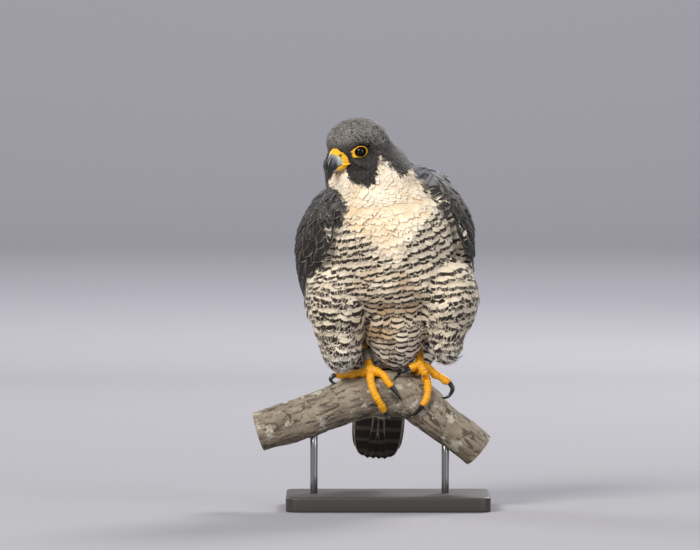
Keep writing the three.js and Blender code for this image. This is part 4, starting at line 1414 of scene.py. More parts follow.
def foot_lines(side):
    """Every path of a foot with its tops, for finding a place along the nearest one."""
    foot = FEET[side]
    paths = [Path((foot["joint"],) + places) for places in foot["toes"].values()] + [Path(foot["shank"])]
    places, gone, tops, onward = [], [], [], []
    for i, path in enumerate(paths):
        share = np.linspace(0, 1, 90)
        at = path.at(share)
        places.append(at)
        gone.append(share * path.length + 31.7 * i)
        last = i == len(paths) - 1
        tops.append(np.tile([0.0, -1.0, 0.0], (90, 1)) if last else toe_top(at))
        onward.append(path.heading(share))
    return (np.concatenate(part) for part in (places, gone, tops, onward))


def foot_piece(side):
    """The skin of one foot and shank, one surface, with scutes across the top of the toes and down the
    front of the shank, small round scales on the sides, and pads below. The crease attribute is deep in
    the lines between them and in the hollows between the side scales: painted shade where they sink."""
    foot = FEET[side]
    shells = [toe_shell(side, name) for name in foot["toes"]]
    shells += [shank_shell(side), ball_shell(foot["joint"], TOE_RADIUS * 1.35)]
    piece = shell_piece(f"foot_skin_{side}", shells, 0.55, 4)
    points = points_of(piece)
    places, gone, tops, onward = foot_lines(side)
    parts = np.array_split(points, 60)
    nearest = np.concatenate([((part[:, None] - places) ** 2).sum(-1).argmin(1) for part in parts])
    offset, onward = points - places[nearest], onward[nearest]
    past = (offset * onward).sum(-1)
    out = unit(offset - onward * past[:, None])
    upward = (out * tops[nearest]).sum(-1)
    s = gone[nearest] + past
    phase = (s + 0.9 * noise_at(points, 4.5, 52)) / 2.6 % 1
    groove = bell(phase, 0.5, 0.09)
    plate = np.sin(np.pi * ((phase + 0.5) % 1))
    on_top = smooth(0.15, 0.5, upward)
    push = on_top * (0.16 * plate - 0.24 * groove) + 0.22 * noise_at(points, 3.4, 53)
    side_scales = noise_at(points, 1.1, 51)
    push = push + (1 - on_top) * 0.2 * side_scales
    points = points + out * push[:, None]
    piece.data.vertices.foreach_set("co", (points * MM).astype(np.float32).reshape(-1))
    # Painted shade: the crease tone is strongest where the surface was pushed in
    crease = np.clip(on_top * groove + (1 - on_top) * smooth(0.1, -0.5, side_scales) * 0.6, 0, 1)
    set_vectors(piece, "tone", np.stack([crease, 0 * crease, on_top], -1))
    return piece


def claw_shell(side, name):
    """One claw: a hooked cone, deeper than wide, with a groove on either side of its under face."""
    path = Path(FEET[side]["claws"][name])
    share = np.linspace(0, 1, 44)
    angle = turns(28)
    radius = along(CLAW_TAPER, share)[:, None] * CLAW_RADIUS
    shape = 1 + 0.12 * np.cos(angle) ** 2 - 0.13 * np.clip(-np.cos(angle), 0, 1) ** 6
    start, middle, end = path.at(np.array([0.0, 0.5, 1.0]))
    bend = middle - (start + end) / 2
    rings = sweep(path, share, radius * shape[None], np.tile(unit(bend), (44, 1)))
    return closed_tube(rings), share


def ring_shell():
    """The leg ring: a plain metal band with rounded edges round the right shank."""
    path = Path(FEET["right"]["shank"])
    middle, onward = path.at(RING_PLACE), path.heading(RING_PLACE)
    inner = SHANK_RADIUS * 1.15 + 0.7
    section, turn = turns(32), turns(72)
    wide = power(np.cos(section), 0.35) * RING_WALL / 2
    tall = power(np.sin(section), 0.35) * RING_HEIGHT / 2
    first = unit(np.cross(onward, [0, 1.0, 0]))
    second = np.cross(onward, first)
    out = first * np.cos(turn)[:, None] + second * np.sin(turn)[:, None]
    radius = inner + RING_WALL / 2 + wide
    return grid_ring_shell(middle + out[:, None] * radius[None, :, None] + onward * tall[None, :, None])


# Perch and stand

# A knot is its place along the perch, its angle round it, its radius and its height
KNOTS = ((0.34, 3.6, 5.5, 2.6), (0.47, 5.6, 4.5, 2.0), (0.78, 4.2, 6.0, 2.4), (0.15, 5.0, 5.0, 2.0))
BASE_SIZE = (220.0, 160.0, 16.0)
BASE_CORNER = 14.0
BASE_BEVEL = 2.0
ROD_RADIUS = 4.0
RODS = {"left": (62.0, 3.0), "right": (-80.0, 1.5)}


def perch_shell():
    """A cut length of branch: a swept tube with long ridges, cracks across, warts and two knots in its
    bark."""
    rows, around = 380, 170
    share = np.linspace(0, 1, rows)
    radius = along(PERCH_RADII, share)[:, None] * np.ones((1, around))
    rings = sweep(PERCH, share, radius, np.tile([0.0, 0.0, 1.0], (rows, 1)))
    out = unit(rings - PERCH.at(share)[:, None])
    s = (share * PERCH.length)[:, None] + 0 * radius
    turn = turns(around)[None] + 0 * radius
    round_place = np.stack([s / 3.5, np.cos(turn) * 22, np.sin(turn) * 22], -1)
    bent = 2.2 * noise_at(rings, 9.0, 67)
    crack_place = np.stack([s / 2.6 + bent, np.cos(turn) * 20 + bent, np.sin(turn) * 20 - bent], -1)
    smoother = 1 - 0.55 * smooth(150, 215, s)
    bark = 0.55 * noise_at(round_place, 3.2, 61) + 0.3 * noise_at(round_place, 1.5, 62)
    cracks = -0.75 * smooth(0.14, 0.0, np.abs(noise_at(crack_place, 5.5, 63)))
    cracks = cracks * smooth(-0.5, 0.3, noise_at(rings, 14.0, 68))
    cracks = cracks - 0.4 * smooth(0.12, 0.0, np.abs(noise_at(crack_place, 2.6, 64)))
    lumps = 0.9 * noise_at(rings, 17.0, 65) + 0.4 * noise_at(rings, 7.0, 66)
    knots = np.zeros_like(s)
    for place, angle, size, tall in KNOTS:
        apart = np.hypot(s - place * PERCH.length, 22 * ((turn - angle + math.pi) % TURN - math.pi))
        knots += tall * (bell(apart, 0, size) - 1.3 * bell(apart, 0, size * 0.42))
    bump = (bark + cracks) * smoother + lumps + knots
    rings = rings + out * bump[..., None]
    tone = np.stack([np.clip(bark + cracks, -1, 1), smooth(150, 215, s), np.clip(knots / 2.0, -1, 1)], -1)
    return closed_tube(rings), np.concatenate([tone.reshape(-1, 3), np.zeros((2, 3))])


def level_ring(outline, height):
    """The points of a flat outline at a height."""
    return np.concatenate([outline, np.full((len(outline), 1), height)], -1)


def base_shell():
    """The stand's base: a board with round corners and eased edges."""
    corner_angle = np.linspace(0, math.pi / 2, 14)
    outline, outward = [], []
    for k, (sx, sy) in enumerate(((1, 1), (-1, 1), (-1, -1), (1, -1))):
        angle = corner_angle + k * math.pi / 2
        centre = np.array([sx * (BASE_SIZE[0] / 2 - BASE_CORNER), sy * (BASE_SIZE[1] / 2 - BASE_CORNER)])
        way = np.stack([np.cos(angle), np.sin(angle)], -1)
        outline.append(centre + way * BASE_CORNER)
        outward.append(way)
    outline, outward = np.concatenate(outline), np.concatenate(outward)
    ease = np.linspace(0, math.pi / 2, 6)
    inset = np.concatenate([BASE_BEVEL * (1 - np.sin(ease)), BASE_BEVEL * (1 - np.cos(ease))])
    level = np.concatenate([BASE_BEVEL * (1 - np.cos(ease)), BASE_SIZE[2] - BASE_BEVEL * (1 - np.sin(ease))])
    low, high = level_ring(outline * 0.5, 0.0), level_ring(outline * 0.5, BASE_SIZE[2])
    rings = [level_ring(outline - outward * i, h) for i, h in zip(inset, level)]
    return closed_tube(np.stack([low] + rings + [high]))


def rod_shell(x, y):
    """A stand rod: an upright cylinder from inside the base to inside the perch."""
    share = np.linspace(0, 1, 241)
    middle = PERCH.at(share)
    i = int(np.argmax(middle[:, 0] >= x))
    top = middle[i, 2] - along(PERCH_RADII, share[i : i + 1])[0] + 14
    turn = turns(48)
    circle = np.stack([x + ROD_RADIUS * np.cos(turn), y + ROD_RADIUS * np.sin(turn)], -1)
    return closed_tube(np.stack([level_ring(circle, height) for height in np.linspace(6, top, 4)]))


# Node trees


def new_node(tree, kind, **settings):
    """A shader node with its settings."""
    made = tree.nodes.new("ShaderNode" + kind)
    for key, value in settings.items():
        setattr(made, key, value)
    return made


def add_node(kind, links, **settings):
    """A node in the tree of the sockets that its inputs are linked to. Its other inputs are set to values."""
    tree = next(value.id_data for value in links.values() if isinstance(value, NodeSocket))
    made = new_node(tree, kind, **settings)
    for key, value in links.items():
        if isinstance(value, NodeSocket):
            tree.links.new(value, made.inputs[key])
        else:
            made.inputs[key].default_value = value
    return made


def result(kind, links, **settings):
    """The first output of a new node."""
    return add_node(kind, links, **settings).outputs[0]


def calc(operation, *values, clamp=False):
    """The result of a math node."""
    return result("Math", dict(enumerate(values)), operation=operation, use_clamp=clamp)


def times(a, b, clamp=False):
    return calc("MULTIPLY", a, b, clamp=clamp)


def plus(a, b, clamp=False):
    return calc("ADD", a, b, clamp=clamp)


def minus(a, b):
    return calc("SUBTRACT", a, b)


def ramp(value, low, high, start=0.0, end=1.0):
    """A value taken smoothly from start to end as another goes from low to high."""
    links = {"Value": value, "From Min": low, "From Max": high, "To Min": start, "To Max": end}
    return result("MapRange", links, interpolation_type="SMOOTHSTEP")


def mix(share, a, b):
    """Colour a turned into colour b by a share."""
    return add_node("Mix", {0: share, 6: a, 7: b}, data_type="RGBA").outputs[2]


def tinted(colour, amount):
    """A colour times an amount."""
    return result("VectorMath", {0: colour, "Scale": amount}, operation="SCALE")


def read(tree, name, output):
    """The Color or Vector of an attribute."""
    return new_node(tree, "Attribute", attribute_name=name).outputs[output]


def parts_of(vector):
    """The three parts of a vector."""
    return add_node("SeparateXYZ", {0: vector}).outputs


def object_place(tree):
    """A point's place in its object."""
    return new_node(tree, "TexCoord").outputs["Object"]


def noise(place, scale, detail=3.0, roughness=0.5, stretch=None):
    """A noise texture's value, its place stretched first when a scale for each axis is given."""
    if stretch is not None:
        place = result("Mapping", {"Vector": place, "Scale": stretch})
    links = {"Vector": place, "Scale": scale, "Detail": detail, "Roughness": roughness}
    return result("TexNoise", links)


COLOR, VECTOR, NUMBER = "NodeSocketColor", "NodeSocketVector", "NodeSocketFloat"


def new_group(name, inputs):
    """A node group with named inputs, a Color and a Height output, and its input and output sockets."""
    tree = bpy.data.node_groups.new(name, "ShaderNodeTree")
    for title, kind, value in inputs:
        socket = tree.interface.new_socket(title, in_out="INPUT", socket_type=kind)
        if value is not None:
            socket.default_value = value
    for title, kind in (("Color", COLOR), ("Height", NUMBER)):
        tree.interface.new_socket(title, in_out="OUTPUT", socket_type=kind)
    return tree, tree.nodes.new("NodeGroupInput").outputs, tree.nodes.new("NodeGroupOutput").inputs


def feather_group():
    """One feather's pattern: bars across it at even distances from its tip, a shaft line, a pale fringe,
    fine barbs and painted shade: warmer and darker towards the feather's base, where the next row
    shades it. Bars are (strength, distance from bar to bar, thickness), edge is (fringe, shaft, how far
    the bars are narrowed to spots, which also widens the fringe and sets how strong the painted shade
    is). A bar stands where the fraction of distance / pitch is near the bar offset."""
    name = "Feather Pattern"
    if name in bpy.data.node_groups:
        return bpy.data.node_groups[name]
    inputs = [(title, VECTOR, None) for title in ("Vane", "Bars", "Edge", "Place")]
    inputs += [("Ground", COLOR, None), ("Mark", COLOR, None), ("Bar Offset", NUMBER, 0.47)]
    tree, ins, outs = new_group(name, inputs)
    across, distance, barb = parts_of(ins["Vane"])
    strength, pitch, thick = parts_of(ins["Bars"])
    fringe, shaft, spot = parts_of(ins["Edge"])
    wobble = times(minus(noise(ins["Place"], 240.0, 2.0), 0.5), 2.6)
    repeats = calc("DIVIDE", plus(distance, wobble), pitch)
    repeats = minus(calc("FRACT", repeats), ins["Bar Offset"])
    apart = times(calc("ABSOLUTE", repeats), pitch)
    bar = ramp(minus(apart, times(thick, 0.5)), 0.55, -0.35)
    bar = times(bar, strength)
    side = calc("ABSOLUTE", across)
    limit = minus(1.5, times(spot, 1.2))
    bar = times(bar, ramp(minus(side, limit), 0.15, -0.1))
    line = times(ramp(side, 0.13, 0.03), shaft)
    rim_depth = plus(times(spot, 3.0), 1.4)
    rim = ramp(calc("DIVIDE", distance, rim_depth), 1.0, 0.2)
    rim = calc("MAXIMUM", rim, ramp(side, 0.75, 1.0))
    rim = times(rim, fringe)
    strands = {0: times(barb, 2.4), 1: times(across, 1.3)}
    strands = {0: result("CombineXYZ", strands), 1: tinted(ins["Place"], 90.0)}
    strands = result("VectorMath", strands)
    hair = noise(strands, 1.0, 2.0, 0.6)
    pale = mix(0.55, ins["Ground"], (0.86, 0.8, 0.7, 1))
    # Painted shade: towards the feather's base the ground turns warmer and darker, by the spot share, so the
    # bib shows buff shade between the rows of tips
    warm = {0: ins["Ground"], 1: (0.9, 0.79, 0.64)}
    deep = result("VectorMath", warm, operation="MULTIPLY")
    inner = times(ramp(distance, 3.0, 10.0, 0.0, 0.7), spot)
    body = mix(inner, ins["Ground"], deep)
    body = mix(rim, body, pale)
    body = mix(times(bar, 1.0, clamp=True), body, ins["Mark"])
    body = mix(line, body, ins["Mark"])
    tree.links.new(tinted(body, ramp(hair, 0.3, 0.7, 0.84, 1.12)), outs["Color"])
    tree.links.new(plus(hair, ramp(side, 0.1, 0.0)), outs["Height"])
    return tree


def scale_group():
    """Bird skin: fine grain, small round scales and darker creases from the tone attribute. The darker lines
    between the small scales and the creases are painted shade.
    """
    name = "Bird Skin"
    if name in bpy.data.node_groups:
        return bpy.data.node_groups[name]
    inputs = [("Place", VECTOR, None), ("Crease", NUMBER, 0.0), ("Scale Size", NUMBER, 700.0)]
    inputs += [("Base", COLOR, (0.8, 0.4, 0.02, 1)), ("Crease Color", COLOR, (0.3, 0.1, 0.01, 1))]
    tree, ins, outs = new_group(name, inputs)
    links = {"Vector": ins["Place"], "Scale": ins["Scale Size"]}
    cells = add_node("TexVoronoi", links, feature="DISTANCE_TO_EDGE").outputs["Distance"]
    gaps = ramp(cells, 0.0, 0.12)
    grain = noise(ins["Place"], 260.0, 4.0)
    base = mix(ramp(grain, 0.35, 0.75, 0.0, 0.35), ins["Base"], ins["Crease Color"])
    # Painted shade: darker along the low edges between the small scales and in the creases
    crease = plus(ins["Crease"], times(minus(1.0, gaps), 0.16), clamp=True)
    body = mix(times(crease, 0.8), base, ins["Crease Color"])
    tree.links.new(body, outs["Color"])
    tree.links.new(plus(times(gaps, 0.6), times(grain, 0.5)), outs["Height"])
    return tree


def new_material(name, roughness, **settings):
    """A new material, its node tree and the inputs of its Principled node, set to the roughness and the
    settings. An underscore in a setting's name stands for a space."""
    made = bpy.data.materials.new(name)
    made.use_nodes = True
    tree = made.node_tree
    surface = tree.nodes["Principled BSDF"].inputs
    for key, value in {"Roughness": roughness, **settings}.items():
        surface[key.replace("_", " ")].default_value = value
    return made, tree, surface


def bump(surface, height, strength, distance):
    """Raises a material's surface by a height."""
    links = {"Height": height, "Strength": strength, "Distance": distance}
    height.id_data.links.new(result("Bump", links), surface["Normal"])


def finish(surface, colour, height, strength, distance):
    """Links a colour and a bump of a height to a material's surface."""
    height.id_data.links.new(colour, surface["Base Color"])
    bump(surface, height, strength, distance)


def rgba(colour):
    return (*[float(part) for part in colour[:3]], 1.0)


def tone_of(tree):
    """The three parts of the tone attribute."""
    return parts_of(read(tree, "tone", "Vector"))


def feather_material(name, roughness=0.72, sheen=0.25):
    """The Feather Pattern group over the attributes that each feather carries."""
    if name in bpy.data.materials:
        return bpy.data.materials[name]
    sheen = {"Sheen_Weight": sheen, "Sheen_Roughness": 0.4}
    made, tree, surface = new_material(name, roughness, Specular_IOR_Level=0.3, **sheen)
    group = new_node(tree, "Group", node_tree=feather_group())
    outputs = {"vane": "Vector", "bars": "Vector", "edge": "Vector", "ground": "Color", "mark": "Color"}
    for attribute, output in outputs.items():
        tree.links.new(read(tree, attribute, output), group.inputs[attribute.title()])
    tree.links.new(object_place(tree), group.inputs["Place"])
    finish(surface, group.outputs["Color"], group.outputs["Height"], 0.35, 0.0002)
    return made


def shaded_skin_material():
    """The skin under the feathers, in the colours of the coat but darker: painted shade, since it shows only
    in the gaps between the feathers.
    """
    made, tree, surface = new_material("Skin Under Feathers With Painted Shade", 0.9)
    fuzz = noise(object_place(tree), 900.0, 3.0)
    # Painted shade: the coat's colours at 0.45 to 0.75 of their brightness
    colour = tinted(read(tree, "ground", "Color"), ramp(fuzz, 0.3, 0.7, 0.45, 0.75))
    finish(surface, colour, fuzz, 0.5, 0.0005)
    return made


def skin_material(name, base, crease, roughness, size):
    """Bare skin of cere, lids and feet. The tone attribute is (crease, nostril pit, unused): painted shade,
    darker in the creases and near black in the pit.
    """
    depth = {"Subsurface_Weight": 0.08, "Subsurface_Radius": (0.002, 0.001, 0.0004)}
    made, tree, surface = new_material(name, roughness, **depth)
    group = new_node(tree, "Group", node_tree=scale_group())
    crease_part, pit, _ = tone_of(tree)
    for key, value in (("Base", rgba(base)), ("Crease Color", rgba(crease)), ("Scale Size", size)):
        group.inputs[key].default_value = value
    tree.links.new(object_place(tree), group.inputs["Place"])
    tree.links.new(crease_part, group.inputs["Crease"])
    # Painted shade: near black in the nostril's pit
    colour = mix(pit, group.outputs["Color"], (0.02, 0.008, 0.003, 1))
    finish(surface, colour, group.outputs["Height"], 0.4, 0.0002)
    return made


def horn_material(name, pale, dark, span, roughness, root, root_span):
    """Horn that darkens along the tone attribute from its root's colour, with fine lines along its
    growth."""
    made, tree, surface = new_material(name, roughness, Coat_Weight=0.15, Coat_Roughness=0.2)
    grain = noise(object_place(tree), 420.0, 4.0, 0.6, (1.0, 1.0, 0.25))
    place = plus(tone_of(tree)[0], times(minus(grain, 0.5), 0.35))
    colour = mix(ramp(place, *span), rgba(pale), rgba(dark))
    colour = mix(ramp(place, *root_span), colour, rgba(root))
    finish(surface, colour, grain, 0.25, 0.0002)
    return made


def eye_material(iris, pupil):
    """A dark glossy eye: pupil, iris with fine spokes, and a darker rim, by the angle from the way it
    looks."""
    made, tree, surface = new_material("Eye Glass", 0.04, IOR=1.36)
    angle = tone_of(tree)[0]
    spokes = noise(object_place(tree), 1400.0, 2.0)
    brown = mix(spokes, rgba(iris), rgba(iris * 0.45))
    colour = mix(ramp(angle, 0.36, 0.40), rgba(pupil), brown)
    colour = mix(ramp(angle, 0.66, 0.78), colour, rgba(pupil))
    tree.links.new(colour, surface["Base Color"])
    return made


def bark_material(pale, middle, dark, lichen):
    """Bark: grey with darker cracks, pale lichen patches, dark dirt patches, and paler where it is smooth.
    It is darker where the bark lies lower, in its cracks, its low grain and the hollows of its knots:
    partly their own darker colour, partly painted shade. The tone attribute is (bark's height,
    smoothness, knot)."""
    made, tree, surface = new_material("Bark", 0.85)
    crack, smoother, knot = tone_of(tree)
    place = object_place(tree)
    fine = noise(place, 260.0, 5.0, 0.65)
    colour = mix(ramp(noise(place, 22.0, 4.0), 0.35, 0.65), rgba(middle), rgba(pale))
    spots = ramp(noise(place, 75.0, 5.0, 0.6), 0.56, 0.64)
    dirt = ramp(noise(place, 130.0, 6.0, 0.7), 0.57, 0.7)
    for share, layer in (
        (times(smoother, 0.45), pale),
        # Darker where the bark lies lower: the cracks' own colour with painted shade
        (ramp(crack, -0.05, -0.6, 0.0, 0.8), dark),
        (times(spots, 0.75), lichen),
        (times(dirt, 0.7), dark),
        # Darker in the knots' hollows: their own colour with painted shade
        (ramp(knot, -0.1, -0.5, 0.0, 0.8), dark),
    ):
        colour = mix(share, colour, rgba(layer))
    finish(surface, tinted(colour, ramp(fine, 0.2, 0.8, 0.78, 1.2)), fine, 0.8, 0.0008)
    return made


def plain_material(name, colour, roughness, metallic=0.0, grain=0.0):
    """One colour, with fine scratches when a grain is given."""
    made, tree, surface = new_material(name, roughness, Metallic=metallic, Base_Color=rgba(colour))
    if grain:
        scratches = noise(object_place(tree), 500.0, 4.0, 0.6, (1.0, 1.0, 6.0))
        rough = ramp(scratches, 0.3, 0.7, roughness - grain, roughness + grain)
        tree.links.new(rough, surface["Roughness"])
        bump(surface, scratches, 0.15, 0.0001)
    return made


# Settings


def colour_setting(name, description, red, green, blue):
    """A colour property from a screen colour of 0 to 255."""
    shown = {"name": name, "description": description, "default": srgb(red, green, blue).tolist()}
    return FloatVectorProperty(size=3, subtype="COLOR", min=0, max=1, **shown)


class FalconColours(PropertyGroup):
    """The colours of every part of the model"""

    cream: colour_setting("Cream", "Throat and upper breast", 246, 232, 208)
    buff: colour_setting("Buff", "Warm tinge of throat and breast", 226, 194, 148)
    white: colour_setting("White", "Lightest feather tips", 240, 234, 222)
    under: colour_setting("Underside", "Ground between the bars of breast and flanks", 228, 214, 190)
    # Partly the belly's own buff, partly painted shade in the middle of the belly
    belly: colour_setting("Belly", "Warmer ground in the middle of the belly", 178, 144, 102)
    bar: colour_setting("Bars", "Bars and spots of the underside", 42, 32, 26)
    slate: colour_setting("Hood", "Hood and nape", 62, 58, 56)
    crown: colour_setting("Crown", "Crown, lighter than the hood", 97, 94, 92)
    # Also used round the eye, where it is partly painted shade
    malar: colour_setting("Moustache", "Dark stripe below the eye", 36, 33, 31)
    back: colour_setting("Back", "Mantle and rump", 104, 106, 112)
    back_bar: colour_setting("Back bars", "Bars and shafts of the back", 48, 47, 49)
    wing: colour_setting("Wing", "Wing coverts and flight feathers", 40, 35, 32)
    tail: colour_setting("Tail", "Tail feathers", 38, 31, 27)
    tail_bar: colour_setting("Tail bars", "Paler bars of the tail", 104, 92, 80)
    yellow: colour_setting("Bare skin", "Cere and eye ring", 250, 190, 12)
    # Painted shade between the small scales of cere and eye ring
    yellow_crease: colour_setting("Skin creases", "Creases of cere and eye ring", 214, 146, 8)
    foot: colour_setting("Feet", "Feet and shanks", 250, 178, 6)
    # Painted shade in the lines between the scales
    foot_crease: colour_setting("Foot creases", "Lines between the scales of the feet", 158, 84, 6)
    horn_root: colour_setting("Bill root", "Horn beside the cere", 200, 204, 186)
    horn: colour_setting("Bill", "Middle of the bill's horn", 146, 152, 152)
    horn_tip: colour_setting("Bill tip", "Tip of the bill", 22, 22, 24)
    claw: colour_setting("Claws", "Claws", 20, 18, 18)
    iris: colour_setting("Iris", "Iris of the eye", 20, 12, 8)
    pupil: colour_setting("Pupil", "Pupil of the eye", 4, 4, 5)
    bark: colour_setting("Bark", "Bark of the perch", 110, 99, 85)
    bark_pale: colour_setting("Pale bark", "Smoother bark", 148, 135, 117)
    # Also the painted shade in the low parts of the bark
    bark_dark: colour_setting("Bark cracks", "Cracks in the bark", 56, 47, 37)
    lichen: colour_setting("Lichen", "Lichen on the bark", 188, 181, 165)
    metal: colour_setting("Ring", "Leg ring", 168, 164, 150)
    board: colour_setting("Base", "Base of the stand", 58, 54, 50)
    rod: colour_setting("Rods", "Rods of the stand", 150, 150, 150)
    backdrop: colour_setting("Backdrop", "Floor and backdrop", 152, 151, 157)


def number_setting(name, description, default, unit="NONE"):
    """A number property."""
    return FloatProperty(name=name, description=description, default=default, unit=unit, min=0)


class FalconSizes(PropertyGroup):
    """The sizes of the feathers and the strengths of the lights"""

    feather: number_setting("Feather length", "Length of a feather against its row's step", 2.4)
    spread: number_setting("Feather width", "Width of a feather against its row's step", 1.75)
    voxel: number_setting("Skin detail", "Size of the skin's faces in millimetres", 1.8)
    key_light: number_setting("Key light", "Power of the main light", 250.0, "POWER")
    sky_light: number_setting("Sky light", "Strength of the light from all round", 0.42)


def colours_of(context):
    """The colour settings as arrays, by name."""
    group = context.scene.falcon_colours
    return {key: np.array(getattr(group, key)) for key in FalconColours.__annotations__}


# Coats


def coat_plan(seeds, colours, sizes, rng):
    """Sizes, heights and markings of feathers from their seeds: longer and looser on throat, flanks and
    thighs."""
    size, root, count = seeds["size"], seeds["root"], len(seeds["root"])
    plan = {"length": size * sizes.feather, **seeds}
    up, height = frame_to_head(root)[:, 2], root[:, 2]
    by_head = smooth(-20, 10, neck_height(root))
    fluffy = 1 + 0.9 * by_head * smooth(-14, -26, up) * (hood_share(root) < 0.5)
    throat = smooth(288, 312, height) * (1 - by_head) * smooth(10, -10, root[:, 1])
    hanging = smooth(130, 165, height)
    shaggy = smooth(275, 225, height) * hanging
    clump = np.clip(1.4 * noise_at(root, 11.0, 92), 0, 1)
    puff = by_head * smooth(0, -12, up) * np.clip(1.6 * noise_at(root, 5.0, 93), 0, 1)
    plan["length"] = plan["length"] * fluffy * rng.uniform(0.94, 1.06, count)
    plan["width"] = size * fluffy * sizes.spread * rng.uniform(0.92, 1.08, count)
    lift = 0.08 + 0.04 * size * rng.random(count) + by_head * (0.3 + 0.8 * (fluffy - 1)) * rng.random(count)
    lift = lift + throat * (0.3 + 2.4 * clump) + shaggy * (0.3 + 2.6 * rng.random(count) ** 3) + puff
    plan["lift"] = lift
    plan["fray"] = (0.22 + 0.12 * throat + 0.1 * shaggy) * rng.uniform(0.6, 1.3, count)
    plan["length"] = plan["length"] * (1 + 0.14 * smooth(205, 175, height) * hanging)
    plan["sink"] = np.clip(size * 0.3, 0.5, 2.6)
    plan["arch"] = size * 0.055
    plan["scatter"] = 0.07 + 0.08 * shaggy + 0.1 * by_head + 0.05 * throat
    plan["loose"] = np.clip(size / 8, 0.2, 1)
    plan.update(markings(root + plan["lie"] * plan["length"][:, None] * 0.7, colours, rng))
    return plan


def same_for(count, **values):
    """The same value or row of values for every feather, under each name."""
    rows = {key: np.tile(np.asarray(value, float), (count, 1)) for key, value in values.items()}
    return {key: value[:, 0] if np.ndim(values[key]) == 0 else value for key, value in rows.items()}


def wisps_of(plan, many, share, width, lift, rng):
    """The plan of loose barbs: many for each feather, rooted in its outer part, a share of its length
    long."""
    part = thinned(plan, np.repeat(np.arange(len(plan["root"])), many))
    count = len(part["root"])
    side = unit(np.cross(part["lie"], part["normal"]))
    forth = part["lie"] * (part["length"] * rng.uniform(0.4, 0.9, count))[:, None]
    part["root"] = part["root"] + forth + side * (part["width"] * rng.uniform(-0.45, 0.45, count))[:, None]
    part["length"] = part["length"] * share * rng.uniform(0.6, 1.2, count)
    part["lift"] = part["lift"] * 0.6 + lift * rng.random(count)
    part["ground"] = np.clip(part["ground"] * rng.uniform(0.9, 1.25, count)[:, None], 0, 1)
    part["bars"] = part["bars"] * (0.0, 1, 1)
    part["edge"] = part["edge"] * (0.5, 0, 0)
    part.update(same_for(count, width=width, sink=0.3, arch=0.0, fray=0.0, scatter=0.35, loose=0.3))
    return part


def put(piece, slot, nodes, material):
    """Gives the piece its material, puts it on the frame and hides the nodes that it stands for. The slot is
    not used.
    """
    piece.data.materials.clear()
    piece.data.materials.append(material)
    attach(piece, "root")
    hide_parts(*nodes)
    return piece


def kept_seeds(seeds, field, dropped):
    """The seeds that are not dropped, with the surface's direction at each."""
    seeds = thinned(seeds, ~dropped)
    seeds["normal"] = slope_of(field, seeds["root"])
    return seeds


def lying(seeds, steepest):
    """The seeds whose feathers don't stand up from the surface more steeply than allowed."""
    return thinned(seeds, np.abs((seeds["lie"] * seeds["normal"]).sum(-1)) < steepest)


class FALCON_OT_skin(Operator):
    """Adds the skin of head, body, wings, thighs and tail as one closed surface under the feathers"""

    bl_idname = "falcon.skin"
    bl_label = "Add Skin"

    def execute(self, context):
        sizes = context.scene.falcon_sizes
        shells = [spine_shell(BODY_SPINE, skin_form, 150), head_shell(), tail_shell()]
        shells += [wing_shell(wing) for wing in WING_OF.values()]
        for side, spine in THIGH_SPINES.items():
            shells.append(spine_shell(spine, thigh_form(side, SKIN_DEPTH), 80, 40, 60, 0.2))
        piece = shell_piece("bird_skin", shells, sizes.voxel, 3)
        points = points_of(piece)
        marks = markings(points, colours_of(context), np.random.default_rng(5))
        set_vectors(piece, "ground", marks["ground"], "FLOAT_COLOR")
        nodes = ("head", "neck", "trunk", "tail", "wing_left", "wing_right", "thigh_left", "thigh_right")
        # Its material darkens the coat's colours as painted shade
        put(piece, "barred_feathers", nodes, shaded_skin_material())
        return {"FINISHED"}


